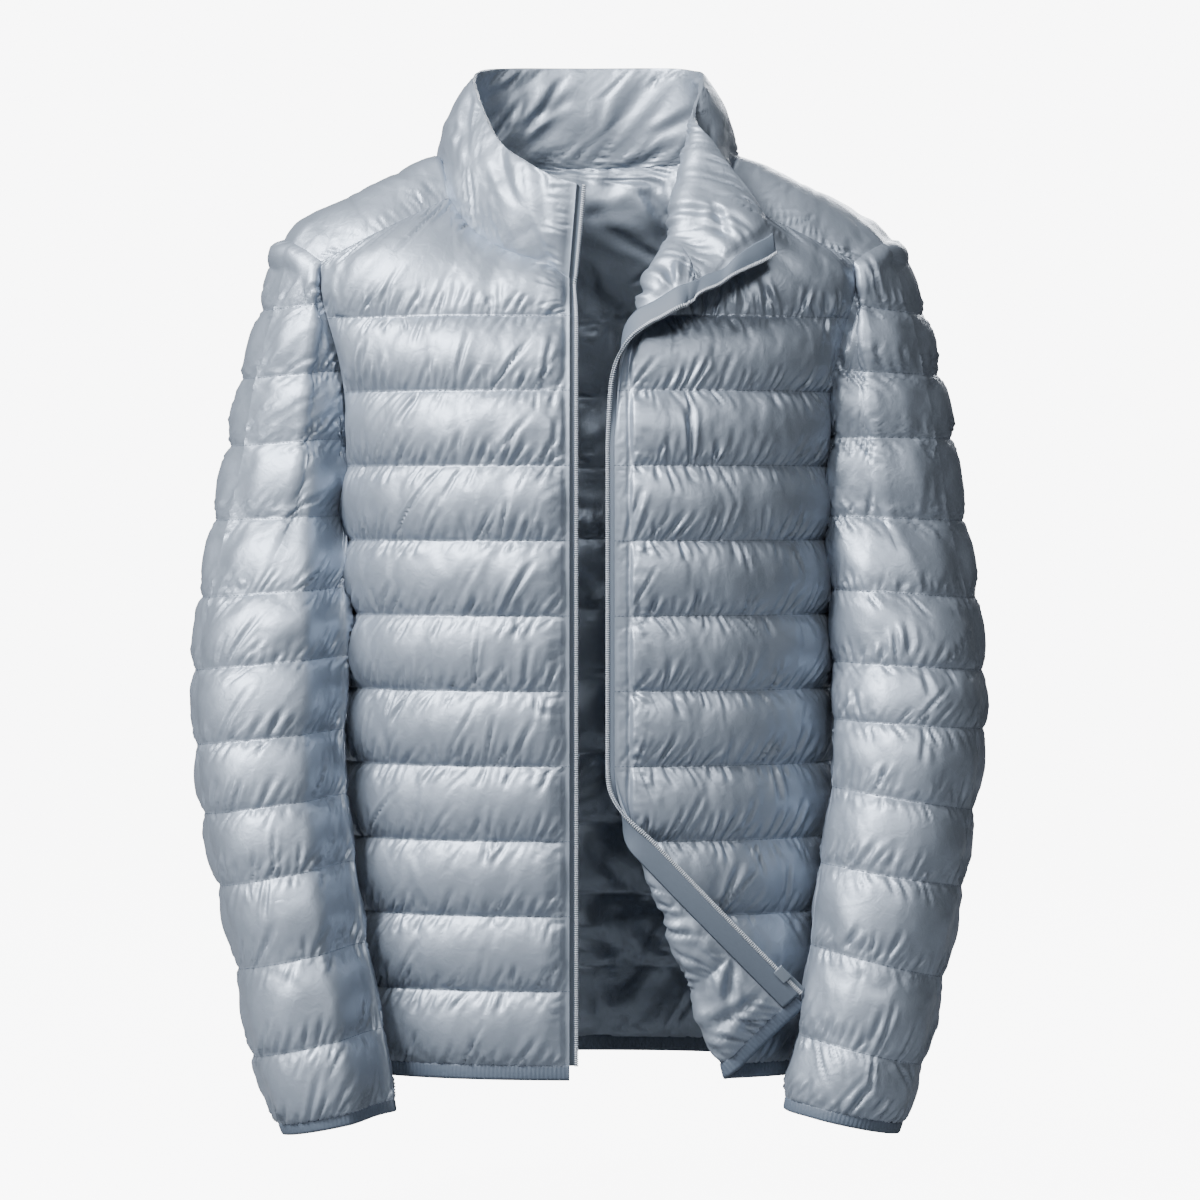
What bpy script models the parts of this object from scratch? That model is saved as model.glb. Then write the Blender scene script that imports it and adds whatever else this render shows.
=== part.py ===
"""Lightweight quilted padded jacket, filled out and worn open.

The garment keeps its own hollow form. The wearer's right front hangs straight, and the left front is
turned out as a lapel at the neck and folded out at its lower corner. The front faces -Y, the wearer's left
is +X, and the origin is the base of the neck, between the shoulders. Dimensions are in millimetres.
"""
import math

import bpy
import numpy as np
from mathutils import Matrix

MM = 0.001

# ---- driving dimensions, in millimetres -------------------------------------------------------------
HALF_WALL = 1.0          # half of the thickness where the layers are stitched together
SEAM_INSET = 0.15        # each piece stops this far short of a seam
MITRE_LIMIT = 0.6        # a corner sharper than this keeps its point
BODY_PUFF = 5.5          # rise of a body channel over its stitched lines
SLEEVE_PUFF = 4.5
SLEEVE_GAP = 13.0        # from the body's centre surface to the sleeve's
COLLAR_PUFF = 5.0
SEAM_PUFF = 0.2          # share of the puff that is left at a piece's sewn edge
FOLDED_PUFF = 0.35       # share of the puff that is left on a turned-out part
CHANNEL_POWER = 0.7      # under 1 the channels rise steeply beside their lines
YOKE_POWER = 0.6
SIDE_PRESS = (0.2, 0.55, 0.85)       # share of the puff at the columns nearest a side seam
TOP_QUILT = -113.0       # height of the first stitched line across the body
QUILT_PITCH = 56.6
BODY_CHANNELS = 10
HEM_BINDING = 11.0
CUFF_BINDING = 8.5
BINDING_HALF = 1.6
ROWS_PER_CHANNEL = 4
UNDERARM_CHANNEL = 3     # the armhole starts at the fourth stitched line
BODY_SQUARENESS = 2.25   # exponent of the body's rings, 2 is an ellipse

RIGHT_EDGE_X = -14.0     # where each front ends at the zip tape
LEFT_EDGE_X = 20.0
LEFT_NECK_EXTRA = 27.0
TAPE_SHOWS = 6.0         # tape beyond the front's edge
TAPE_UNDER = 3.0         # tape behind the front
TAPE_HALF = 0.6
TAPE_DEPTH = 2.5         # tape centre below the front's own centre surface

# The slider and its pull, in the tape's own frame: u along the tape towards the collar, o out of the
# panel, n towards the garment's outer face, all from the tape's free edge.
SLIDER_SHARE = 1.4       # how many rows up from the hem it has stopped
SLIDER_HALF = 5.5        # half of its length along the tape
SLIDER_BACK = -4.5       # plates reach this far in from the tape's edge
SLIDER_FRONT = 3.4
SLIDER_CLEAR = 0.35      # between the tape and the plates and web
PLATE_OUTSIDE = 2.3
BRIDGE_TOP = 4.9
BRIDGE_BAR = 0.8
BRIDGE_POST = 1.6
BRIDGE_BACK = -1.5
BRIDGE_FRONT = 0.5
PIN_HEIGHT = 3.2         # hinge axis over the tape's middle
PIN_RADIUS = 0.6
ARM_WIDTH = 1.2
ARM_GAP = 0.4            # between an arm and the bridge
TAB_START = 6.5          # from the hinge to the tab's near end
TAB_END = 20.0
TAB_WIDTH = 7.0
BRIDGE_INSET = 0.7       # from a plate's end to the bridge
BLOCK_OVERLAP = 0.3      # joined blocks reach this far into each other
WEB_LIP = 0.5            # the web stands out this far past the plates
ARM_OVERLAP = 1.0        # an arm reaches this far into the tab
PIN_OVERLAP = 0.5        # and the pin this far into an arm
PIN_SQUARE = 0.7         # half width of the squared pin, by its radius

FRONT_NECK_COLUMNS = {"right": 6, "left": 12}
BACK_NECK_COLUMNS = 5
SHOULDER_COLUMNS = 4
FRONT_YOKE_ROWS = 4
BACK_YOKE_ROWS = 8
SHOULDER_EASE = 4.0      # the back's columns turn in to the neck late, past its widest point
NECK_CROWNS = (0.0, 14.0, 5.0, 0.0, 0.0, 0.0)        # lift of the columns behind the neck's sides
RIDGE_SHARES = (0.625, 0.69, 0.75, 0.81, 0.875)      # where each shoulder column crosses the ridge
FLANK_STARTS = (112.0, 98.0)         # half width where the side columns start, at the hem and the top line
YOKE_EASE = 1.5
OUTER_SEAM_COLUMN = 10
COLLAR_ROWS = 8

# Sleeve: the angles round it of half the armhole's points, from the underarm to the shoulder's tip, and
# the sleeve lines between which the columns even out and leave the armhole's form.
ARM_STOPS = (0, 8, 18, 28, 38, 48, 58, 74, 95, 122, 150, 180)
SPREAD_LINES = (3.0, 7.0)
FADE_LINES = (3.6, 6.4)
FIRST_ROW_GAP = 0.12     # a column's first row lies at least this share of a channel under the armhole
GAP_LINES = 0.9          # channels until the sleeve is fully clear of the body
SEAM_LINES = 0.8         # channels until the sleeve is fully padded
BODY_SIDE_PRESS = 0.65   # how much flatter the sleeve is where it faces the body

# Body rings: height, half width, half depth.
BODY_RINGS = (
    (-690, 184, 126),
    (-550, 186, 132),
    (-400, 187, 138),
    (-283, 187, 140),
    (-226, 189, 137),
    (-169, 196, 127),
    (-113, 214, 108),
    (-84, 225, 92),
    (-51, 235, 68),
    (-25, 186, 47),
    (12, 116, 36),
    (40, 63, 34),
)

# Armhole seam up to the shoulder: height, half width.
ARMHOLE = (
    (-283, 187.0),
    (-255, 186.2),
    (-226, 185.5),
    (-198, 185.0),
    (-170, 186.0),
    (-141, 191.0),
    (-113, 199.0),
    (-90, 205.0),
    (-69.5, 204.3),
)
# Armhole over the shoulder, from the front seam to the back line: half width, height, side of the ridge.
ARMHOLE_TOP = (
    (204.3, -69.5, -1),
    (216.0, -61.0, -1),
    (227.0, -55.0, -1),
    (235.0, -51.0, 0),
    (229.0, -55.5, 1),
    (220.0, -64.0, 1),
    (211.0, -79.0, 1),
    (204.0, -96.0, 1),
    (199.0, -113.0, 1),
)

# Neck seam and collar edge, centre front to centre back: seam x, z, y, then collar top x, z, y.
NECK = (
    (14.4, -83.6, -92, 8.4, -12.0, -94),
    (28.0, -75.0, -89, 24.0, -7.0, -88),
    (42.6, -69.0, -84, 38.0, 0.0, -80),
    (57.0, -64.0, -77, 50.0, 8.0, -70),
    (68.6, -59.0, -69, 60.0, 15.0, -58),
    (81.0, -51.0, -58, 68.5, 24.0, -46),
    (91.9, -41.6, -48, 75.0, 35.0, -33),
    (107.0, -20.0, -28, 82.0, 53.0, -12),
    (113.0, 2.0, -4, 88.0, 70.0, 8),
    (116.0, 12.0, 14, 88.0, 79.0, 26),
    (105.0, 14.0, 40, 77.0, 84.5, 47),
    (80.0, 12.0, 58, 58.0, 86.5, 60),
    (40.0, 9.0, 68, 29.0, 87.0, 67),
    (0.0, 8.0, 71, 0.0, 87.0, 69),
)
SHOULDER_ROW = 7         # the row of NECK where the shoulder seam ends

# Sleeve rings, shoulder to cuff: outer x, outer z, inner x, inner z, centre y, half depth.
RIGHT_SLEEVE = (
    (235, -51, 190, -45, 0, 60),
    (251, -106, 186, -98, -5, 62),
    (266, -159, 184, -152, -10, 64),
    (275, -211, 183, -204, -18, 64),
    (286, -268, 183, -264, -28, 62),
    (295, -327, 184, -319, -42, 59),
    (299, -382, 185, -371, -55, 56),
    (297, -438, 189, -427, -70, 54),
    (290, -490, 187, -476, -84, 52),
    (278, -544, 180, -526, -96, 51),
    (263, -606, 171, -587, -108, 49),
    (251, -671, 158, -651, -118, 47),
    (232, -722, 149, -705, -124, 42),
    (228, -731, 147, -714, -125, 41),
)
LEFT_SLEEVE = (
    (235, -51, 190, -45, 0, 60),
    (258, -109, 186, -98, -5, 62),
    (269, -156, 184, -152, -10, 64),
    (279, -205, 183, -204, -18, 64),
    (288, -268, 183, -264, -28, 62),
    (296, -327, 186, -320, -42, 59),
    (300, -382, 190, -375, -55, 56),
    (300, -426, 191, -419, -70, 54),
    (291, -487, 189, -470, -84, 52),
    (282, -544, 180, -527, -96, 51),
    (267, -612, 172, -588, -108, 49),
    (251, -677, 162, -655, -118, 47),
    (236, -721, 152, -703, -124, 42),
    (232, -730, 152, -712, -125, 41),
)

# Turned-out edges of the left front. Axis x, y, z, the way its outer face looks (degrees from -Y to +X),
# bend radius and turn in degrees. Both axes run upwards.
LAPEL_ROLL = (
    (20.0, -130, -205, 2, 9, 150),
    (33.0, -119, -150, 6, 9, 150),
    (55.0, -98, -98, 14, 9, 150),
    (71.0, -71, -60, 28, 9, 146),
    (77.0, -52, -20, 44, 9, 144),
    (80.0, -37, 13, 56, 8, 150),
    (84.0, -12, 48, 74, 7, 165),
    (86.0, 12, 72, 90, 7, 175),
    (82.0, 44, 92, 120, 7, 180),
)
CORNER_ROLL = (
    (116.5, -107, -700, 20, 7.5, 173),
    (67.2, -123.5, -575, 12, 7.5, 173),
    (18.0, -134, -450, 2, 7.5, 169),
)

# How far the turned-out zip edge is drawn from where the roll puts it: height on the flat edge, x, y, z.
LAPEL_LAY = (
    (-127.0, 0.0, 0.0, 0.0),
    (-113.0, 0.0, 0.0, -3.0),
    (-98.3, -2.0, 3.0, -4.0),
    (-83.6, -14.0, 18.0, -14.0),
    (-65.7, -20.0, 13.0, -12.6),
    (-47.8, -29.0, 1.5, -20.8),
    (-29.9, -27.0, 2.0, -31.0),
    (-12.0, -23.6, 4.3, -34.2),
)
LAPEL_LOW = -215.0       # the lapel's roll starts above this height
CORNER_HIGH = -430.0     # the lower corner's fold starts under this one
LAY_POWER = 5.0
RIM_ORDER = (0.31, 0.17, 1.0)        # tells which end of a seam's step comes first, alike on both its sides
SHARP_ANGLE = 50.0

COLOURS = {
    "shell": (0.38, 0.42, 0.48),
    "binding": (0.14, 0.17, 0.21),
    "tape": (0.22, 0.25, 0.29),
    "metal": (0.30, 0.32, 0.35),
}


# ---- smooth tables and rings ------------------------------------------------------------------------
def smooth_table(rows):
    """A function that reads a table smoothly between its rows, by its first column."""
    data = np.array(sorted(rows, key=lambda row: row[0]), float)
    keys = data[:, 0]
    slopes = np.gradient(data, keys, axis=0)

    def read(key):
        key = min(max(key, keys[0]), keys[-1])
        i = min(int(np.searchsorted(keys, key, side="right")) - 1, len(keys) - 2)
        step = keys[i + 1] - keys[i]
        t = (key - keys[i]) / step
        a = 2 * t ** 3 - 3 * t ** 2 + 1
        b = t ** 3 - 2 * t ** 2 + t
        c = 3 * t ** 2 - 2 * t ** 3
        d = t ** 3 - t ** 2
        return a * data[i] + b * step * slopes[i] + c * data[i + 1] + d * step * slopes[i + 1]
    return read


def smooth_path(points):
    """A function of 0..1 along a smooth curve through the points, by arc length."""
    points = np.array(points, float)
    gaps = np.linalg.norm(np.diff(points[:, :3], axis=0), axis=1)
    along = np.concatenate(([0.0], np.cumsum(gaps)))
    rows = [(s, *p) for s, p in zip(along / along[-1], points)]
    read = smooth_table(rows)
    return lambda t: read(t)[1:]


body_ring = smooth_table(BODY_RINGS)
armhole_width = smooth_table(ARMHOLE)


def body_depth(x, z):
    """How far the body's surface lies from its middle plane at this width and height."""
    _, width, depth = body_ring(z)
    share = max(0.0, 1 - (abs(x) / width) ** BODY_SQUARENESS)
    return depth * share ** (1 / BODY_SQUARENESS)


def body_at_angle(angle, z):
    """Half width of the body's ring at an angle from its middle, 90 degrees at the side seam."""
    return body_ring(z)[1] * max(0.0, math.sin(angle)) ** (2 / BODY_SQUARENESS)


def angle_at(x, z):
    share = min(1.0, abs(x) / body_ring(z)[1])
    return math.asin(share ** (BODY_SQUARENESS / 2))


def quilt_z(line):
    return TOP_QUILT - QUILT_PITCH * line


def lerp(a, b, t):
    return a + (b - a) * t


def smoothstep(t):
    t = min(max(t, 0.0), 1.0)
    return t * t * (3 - 2 * t)


def channel_rise(line):
    """The rounded rise of a channel between two stitched lines; whole numbers are stitched."""
    return abs(math.sin(math.pi * line)) ** CHANNEL_POWER


def yoke_rise(share):
    """The rise between the first stitched line and a panel's upper edge."""
    return math.sin(math.pi * min(share, 0.97)) ** YOKE_POWER


def side_press(columns_from_side):
    """The sleeve presses the channels flatter near the side seam."""
    return SIDE_PRESS[columns_from_side] if columns_from_side < len(SIDE_PRESS) else 1.0


# ---- the panels as columns of (row key, point, rise, kept on the plain inside) -------------------------
SIGN = {"right": -1.0, "left": 1.0}
BODY_ROWS = BODY_CHANNELS * ROWS_PER_CHANNEL
neck_curve = smooth_path([(row[0], row[2], row[1], row[3], row[5], row[4]) for row in NECK])


def neck_share(row):
    """Where a row of the neck table lies along the neck curve."""
    points = np.array([(r[0], r[2], r[1]) for r in NECK], float)
    along = np.concatenate(([0.0], np.cumsum(np.linalg.norm(np.diff(points, axis=0), axis=1))))
    return along[row] / along[-1]


NECK_POINT = neck_share(SHOULDER_ROW)


def front_edge_x(side):
    return {"right": -RIGHT_EDGE_X, "left": LEFT_EDGE_X}[side]


def shoulder_seam(share):
    """The front shoulder seam from the neck to the armhole, as half width, depth and height."""
    start = neck_curve(NECK_POINT)[:3]
    x, z, _ = ARMHOLE_TOP[0]
    end = np.array((x, -body_depth(x, z), z))
    point = lerp(start, end, share)
    surface = -body_depth(point[0], point[2])
    blend = math.sin(math.pi * share)
    point[1] = lerp(point[1], surface, blend)
    return point


def lap_over(point, share):
    """The left front is cut wider at the neck, past the centre, so that it can turn out."""
    point[0] -= LEFT_NECK_EXTRA * max(0.0, 1 - share / NECK_POINT) ** 2
    return point


def front_top(side, column):
    """The upper edge of a front at a column, along the neck seam and then the shoulder seam."""
    count = FRONT_NECK_COLUMNS[side]
    if column <= count:
        share = NECK_POINT * column / count
        point = neck_curve(share)[:3]
        return lap_over(point, share) if side == "left" else point
    return shoulder_seam((column - count) / SHOULDER_COLUMNS)


def front_width(side, column, z):
    """Half width of a front's column at a stitched height."""
    neck = FRONT_NECK_COLUMNS[side]
    total = neck + SHOULDER_COLUMNS
    edge = front_edge_x(side)
    underarm = quilt_z(UNDERARM_CHANNEL)
    outer = math.pi / 2
    if z > underarm:
        outer = angle_at(armhole_width(z)[1], z)
    hem = BODY_RINGS[0][0]
    inner_x = lerp(*FLANK_STARTS, smoothstep((z - hem) / (TOP_QUILT - hem)))
    inner = angle_at(inner_x, z)
    if column <= neck:
        return lerp(edge, inner_x, column / neck)
    return body_at_angle(lerp(inner, outer, (column - neck) / SHOULDER_COLUMNS), z)


def front_columns(side):
    """A front panel, from its zip edge to the side seam and armhole."""
    total = FRONT_NECK_COLUMNS[side] + SHOULDER_COLUMNS
    full = side == "left"
    columns = []
    for c in range(total + 1):
        column = []
        edge = c == total
        for row in range(BODY_ROWS, -1, -1):
            line = row / ROWS_PER_CHANNEL
            z = quilt_z(line)
            on_armhole = edge and line < UNDERARM_CHANNEL
            if on_armhole and row % 2:
                continue
            x = front_width(side, c, z)
            y = -body_depth(x, z)
            if edge and not on_armhole:
                y = 0.0
            kept = full or c < 2 or row % ROWS_PER_CHANNEL == 0 or on_armhole
            rise = channel_rise(line) * side_press(total - c)
            column.append((-line, (SIGN[side] * x, y, z), rise, kept))
        low = np.array(column[-1][1])
        top = front_top(side, c)
        top[0] *= SIGN[side]
        for row in range(1, FRONT_YOKE_ROWS + 1):
            t = row / FRONT_YOKE_ROWS
            if edge and row % 2:
                continue
            point = yoke_point(low, top, t)
            if edge:
                z = lerp(low[2], top[2], t)
                x = armhole_width(z)[1]
                point = np.array((SIGN[side] * x, -body_depth(x, z), z))
            kept = full or c < 2 or row == FRONT_YOKE_ROWS or edge
            column.append((t, tuple(point), yoke_rise(t), kept))
        columns.append(column)
    return columns


def yoke_point(low, top, t):
    """A point between a front's first stitched line and its top edge, on the body's own form."""
    x = lerp(low[0], top[0], t)
    z = lerp(low[2], top[2], t)
    miss = top[1] + body_depth(top[0], top[2])
    return np.array((x, miss * t ** YOKE_EASE - body_depth(x, z), z))


def ridge_z(x):
    """Height of the shoulder's ridge line at this half width."""
    heights = np.linspace(-51, 40, 60)
    widths = [body_ring(z)[1] for z in heights]
    return float(np.interp(-abs(x), [-w for w in widths], heights))


def back_top(column):
    """The upper edge of the back: shoulder seam, neck seam, shoulder seam, as x, y, z."""
    total = 2 * (SHOULDER_COLUMNS + BACK_NECK_COLUMNS)
    half = total // 2
    sign = -1.0 if column < half else 1.0
    place = half - abs(column - half)
    if place <= SHOULDER_COLUMNS:
        point = shoulder_seam(1 - place / SHOULDER_COLUMNS)
    else:
        t = (place - SHOULDER_COLUMNS) / BACK_NECK_COLUMNS
        point = neck_curve(lerp(NECK_POINT, 1.0, t))[:3]
    point[0] *= sign
    return point


def over_shoulder(low, top, t, ridge_share, crown):
    """A point on the way from the back's first line over the shoulder ridge to its front seam."""
    behind = top[1] > 0
    x = lerp(low[0], top[0], t if behind else t ** SHOULDER_EASE)
    start = -math.sqrt(max(0.0, ridge_z(low[0]) - low[2]))
    end = math.sqrt(max(0.0, ridge_z(top[0]) - top[2]))
    if behind:
        place = lerp(start, -end, t)
    elif t < ridge_share:
        place = lerp(start, 0.0, t / ridge_share)
    else:
        place = lerp(0.0, end, (t - ridge_share) / (1 - ridge_share))
    z = ridge_z(x) - place * place
    side = 1.0 if place < 0 else -1.0
    low_miss = low[1] - body_depth(low[0], low[2])
    top_side = 1.0 if behind else -1.0
    top_miss = top[1] - top_side * body_depth(top[0], top[2])
    lift = crown * math.sin(math.pi * t)
    return np.array((x, side * body_depth(x, z) + low_miss * (1 - t) + top_miss * t + lift / 2, z + lift))


def back_columns():
    """The back panel, from the right side seam to the left one."""
    total = 2 * (SHOULDER_COLUMNS + BACK_NECK_COLUMNS)
    half = total // 2
    columns = []
    for c in range(total + 1):
        edge = c in (0, total)
        sign = -1.0 if c < half else 1.0
        share = abs(c - half) / half
        place = half - abs(c - half)
        column = []
        for row in range(BODY_ROWS, -1, -1):
            line = row / ROWS_PER_CHANNEL
            z = quilt_z(line)
            on_armhole = edge and line < UNDERARM_CHANNEL
            if on_armhole and row % 2:
                continue
            outer = math.pi / 2
            if line < UNDERARM_CHANNEL:
                outer = angle_at(armhole_width(z)[1], z)
            x = body_at_angle(outer * share, z)
            y = body_depth(x, z)
            if edge and not on_armhole:
                y = 0.0
            kept = row % ROWS_PER_CHANNEL == 0 or on_armhole
            rise = channel_rise(line) * side_press(half - abs(c - half))
            column.append((-line, (sign * x, y, z), rise, kept))
        low = np.array(column[-1][1])
        top = back_top(c)
        for row in range(1, BACK_YOKE_ROWS + 1):
            t = row / BACK_YOKE_ROWS
            if edge:
                x, z, ridge_side = ARMHOLE_TOP[BACK_YOKE_ROWS - row]
                point = np.array((sign * x, ridge_side * body_depth(x, z), z))
            else:
                ridge_share = RIDGE_SHARES[min(place, SHOULDER_COLUMNS)]
                crown = NECK_CROWNS[max(place - SHOULDER_COLUMNS, 0)]
                point = over_shoulder(low, top, t, ridge_share, crown)
            kept = edge or row % 2 == 0 or abs(place - SHOULDER_COLUMNS) < 2
            column.append((t, tuple(point), yoke_rise(t), kept))
        columns.append(column)
    return columns


def collar_columns():
    """The collar, from its right front end round the back to its left front end."""
    places = []
    for side, sign in (("right", -1.0), ("left", 1.0)):
        count = FRONT_NECK_COLUMNS[side]
        front = [(sign, NECK_POINT * i / count) for i in range(count + 1)]
        back = [(sign, lerp(NECK_POINT, 1.0, i / BACK_NECK_COLUMNS)) for i in range(1, BACK_NECK_COLUMNS + 1)]
        places.append(front + back)
    stations = places[0] + places[1][-2::-1]
    columns = []
    for sign, share in stations:
        values = neck_curve(share)
        base = values[:3].copy()
        top = values[3:].copy()
        if sign > 0:
            base = lap_over(base, share)
            top = lap_over(top, share)
        base[0] *= sign
        top[0] *= sign
        column = []
        for row in range(COLLAR_ROWS + 1):
            t = row / COLLAR_ROWS
            point = lerp(base, top, t)
            column.append((t, tuple(point), channel_rise(2 * t), True))
        columns.append(column)
    return columns


def armhole_points(front, back_edge):
    """The armhole seam from the underarm up the front, over the shoulder and down the back."""
    front_edge = [entry for entry in front[-1] if entry[0] >= -UNDERARM_CHANNEL]
    back_edge = [entry for entry in back_edge if entry[0] >= -UNDERARM_CHANNEL]
    loop = [entry[1] for entry in front_edge] + [entry[1] for entry in back_edge[::-1][1:-1]]
    return [np.array(point) for point in loop]


def keep_clear(point, gap):
    """Moves a sleeve's point outwards until it is this far from the body's surface."""
    x, y, z = point
    _, width, depth = body_ring(z)
    scale = ((abs(x) / width) ** BODY_SQUARENESS + (abs(y) / depth) ** BODY_SQUARENESS)
    scale = scale ** (1 / BODY_SQUARENESS)
    reach = math.hypot(x, y)
    wanted = 1 + gap * scale / max(reach, 1.0)
    if scale >= wanted or scale < 0.3:
        return point
    return np.array((x * wanted / scale, y * wanted / scale, z))


def sleeve_columns(side, armhole):
    """A sleeve as columns from the armhole seam to the cuff, one for each armhole point."""
    table = RIGHT_SLEEVE if side == "right" else LEFT_SLEEVE
    sign = SIGN[side]
    count = len(armhole)
    rings = smooth_table([(i, *row) for i, row in enumerate(table)])
    last = len(table) - 2

    def ring_point(line, angle):
        _, ox, oz, ix, iz, cy, depth = rings(line)
        across = math.cos(angle)
        x = (ox + ix) / 2 - (ox - ix) / 2 * across
        z = (oz + iz) / 2 - (oz - iz) / 2 * across
        y = cy - depth * math.sin(angle)
        return np.array((sign * x, y, z))

    columns = []
    for c, start in enumerate(armhole):
        arm_angle = armhole_angle(c, count)
        even_angle = 2 * math.pi * c / count
        lines = np.linspace(0, last, 240)
        heights = [ring_point(line, arm_angle)[2] for line in lines]
        first = float(np.interp(-start[2], [-h for h in heights], lines))
        miss = start - ring_point(first, arm_angle)
        column = [(first, tuple(start), 0.0, True)]
        for row in range(last * ROWS_PER_CHANNEL + 1):
            line = row / ROWS_PER_CHANNEL
            if line < first + FIRST_ROW_GAP:
                continue
            angle = lerp(arm_angle, even_angle, between(SPREAD_LINES, line))
            point = ring_point(line, angle) + miss * (1 - between(FADE_LINES, line))
            gap = SLEEVE_GAP * min(1.0, (line - first) / GAP_LINES) ** 0.5
            point = keep_clear(point, gap)
            near_seam = smoothstep((line - first) / SEAM_LINES)
            facing_body = BODY_SIDE_PRESS * max(0.0, math.cos(angle))
            rise = channel_rise(line) * near_seam * (1 - facing_body)
            kept = row % ROWS_PER_CHANNEL == 0
            column.append((line, tuple(point), rise, kept))
        columns.append(column)
    return columns


def between(lines, line):
    """Nothing before the first of two lines, all after the second, and smooth on the way."""
    return smoothstep((line - lines[0]) / (lines[1] - lines[0]))


def armhole_angle(column, count):
    """The angle round a sleeve at which an armhole point sits, 0 at the underarm, pi at the tip."""
    half = count // 2
    place = column if column <= half else count - column
    last = len(ARM_STOPS) - 1
    angle = math.radians(float(np.interp(place * last / half, range(last + 1), ARM_STOPS)))
    return angle if column <= half else 2 * math.pi - angle


# ---- turned-out edges ---------------------------------------------------------------------------------
def roll_axis(rows):
    """A rolling axis from its table: how to read it at a height, and its lowest and highest height."""
    heights = [row[2] for row in rows]
    return smooth_table([(row[2], *row) for row in rows]), min(heights), max(heights)


def roll_frame(axis, z):
    """The rolling axis at a height: a point on it, its direction, then facing, radius and turn."""
    read, low, high = axis
    z = min(max(z, low + 1.0), high - 1.0)
    values = read(z)[1:]
    along = read(z + 1.0)[1:4] - read(z - 1.0)[1:4]
    return values[:3], along / np.linalg.norm(along), values[3:]


def fold_out(point, axis):
    """Rolls a point outwards about an upright axis if it lies on the axis's flap side."""
    foot, along, (facing, radius, turn) = roll_frame(axis, point[2])
    facing = math.radians(facing)
    outward = np.array((math.sin(facing), -math.cos(facing), 0.0))
    outward -= along * np.dot(outward, along)
    outward /= np.linalg.norm(outward)
    toward = np.cross(outward, along)
    offset = point - foot
    reach = float(np.dot(offset, toward))
    if reach <= 0:
        return point
    lift = float(np.dot(offset, outward))
    limit = math.radians(turn)
    angle = min(reach / radius, limit)
    rest = max(0.0, reach - radius * limit)
    result = foot + along * np.dot(offset, along)
    result = result + toward * (radius * math.sin(angle) + rest * math.cos(limit))
    result = result + outward * (radius * (1 - math.cos(angle)) + rest * math.sin(limit))
    return result + (outward * math.cos(angle) - toward * math.sin(angle)) * lift


lapel_axis = roll_axis(LAPEL_ROLL)
corner_axis = roll_axis(CORNER_ROLL)
lapel_lay = smooth_table(LAPEL_LAY)


def fold_left(columns, weights, edge):
    """Turns out a panel's flap at the neck and lower corner, then lays its zip edge in place."""
    folded = []
    for column, weight in zip(columns, weights):
        new = []
        for entry, at_edge in zip(column, edge):
            key, point, rise, kept = entry
            place = np.array(point, float)
            if weight is not None and place[2] > LAPEL_LOW:
                place = fold_out(place, lapel_axis)
                if weight > 0:
                    place = place + lapel_lay(at_edge[1][2])[1:] * weight ** LAY_POWER
            elif weight is not None and place[2] < CORNER_HIGH:
                place = fold_out(place, corner_axis)
            moved = np.linalg.norm(place - np.array(point)) > 1.0
            new.append((key, tuple(place), rise * (FOLDED_PUFF if moved else 1.0), kept))
        folded.append(new)
    return folded


def fold_weights(total, first, last):
    """How much each column follows the zip edge: nothing at the first one, all at the last."""
    return [max(0.0, (c - first) / (last - first)) for c in range(total)]


# ---- walls ----------------------------------------------------------------------------------------------
class Panel:
    """A wall's middle surface: its points, the fine faces outside and the plain faces inside."""

    def __init__(self, name, columns, flip, puff, closed=False, sewn_edges=True):
        self.name = name
        self.points = []
        self.rise = []
        ids = []
        for column in columns:
            ids.append([])
            for key, point, rise, kept in column:
                ids[-1].append((key, len(self.points), kept))
                self.points.append(point)
                self.rise.append(rise * puff)
        self.points = np.array(self.points, float)
        self.ids = ids
        if closed:
            ids = ids + [ids[0]]
        self.fine = []
        self.plain = []
        for left, right in zip(ids, ids[1:]):
            self.fine += strip(left, right)
            self.plain += strip([e for e in left if e[2]], [e for e in right if e[2]])
        if flip:
            self.fine = [face[::-1] for face in self.fine]
            self.plain = [face[::-1] for face in self.plain]
        self.loops = boundary_loops(self.fine)
        self.plain_loops = boundary_loops(self.plain)
        if sewn_edges:
            for loop in self.loops:
                for v in loop:
                    self.rise[v] = puff * SEAM_PUFF
        self.normals = vertex_normals(self.points, self.fine)


def strip(left, right):
    """Triangles between two columns, in the order of their row keys."""
    faces = []
    i = 0
    j = 0
    while i < len(left) - 1 or j < len(right) - 1:
        take_left = j == len(right) - 1
        if i < len(left) - 1 and j < len(right) - 1:
            take_left = left[i + 1][0] <= right[j + 1][0] - 1e-9
            if abs(left[i + 1][0] - right[j + 1][0]) < 1e-9:
                take_left = (i + j) % 2 == 0
        if take_left:
            faces.append((left[i][1], right[j][1], left[i + 1][1]))
            i += 1
        else:
            faces.append((left[i][1], right[j][1], right[j + 1][1]))
            j += 1
    return [face for face in faces if len(set(face)) == 3]


def boundary_loops(faces):
    """The open edges of a mesh as ordered loops of vertices, in the faces' own direction."""
    edges = {}
    for a, b, c in faces:
        for pair in ((a, b), (b, c), (c, a)):
            edges[pair] = True
    following = {a: b for a, b in edges if (b, a) not in edges}
    loops = []
    while following:
        start = next(iter(following))
        loop = [start]
        current = following.pop(start)
        while current != start:
            loop.append(current)
            current = following.pop(current)
        loops.append(loop)
    return loops


def vertex_normals(points, faces):
    normals = np.zeros_like(points)
    for face in faces:
        a, b, c = (points[v] for v in face)
        normal = np.cross(b - a, c - a)
        for v in face:
            normals[v] += normal
    return normals


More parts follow.
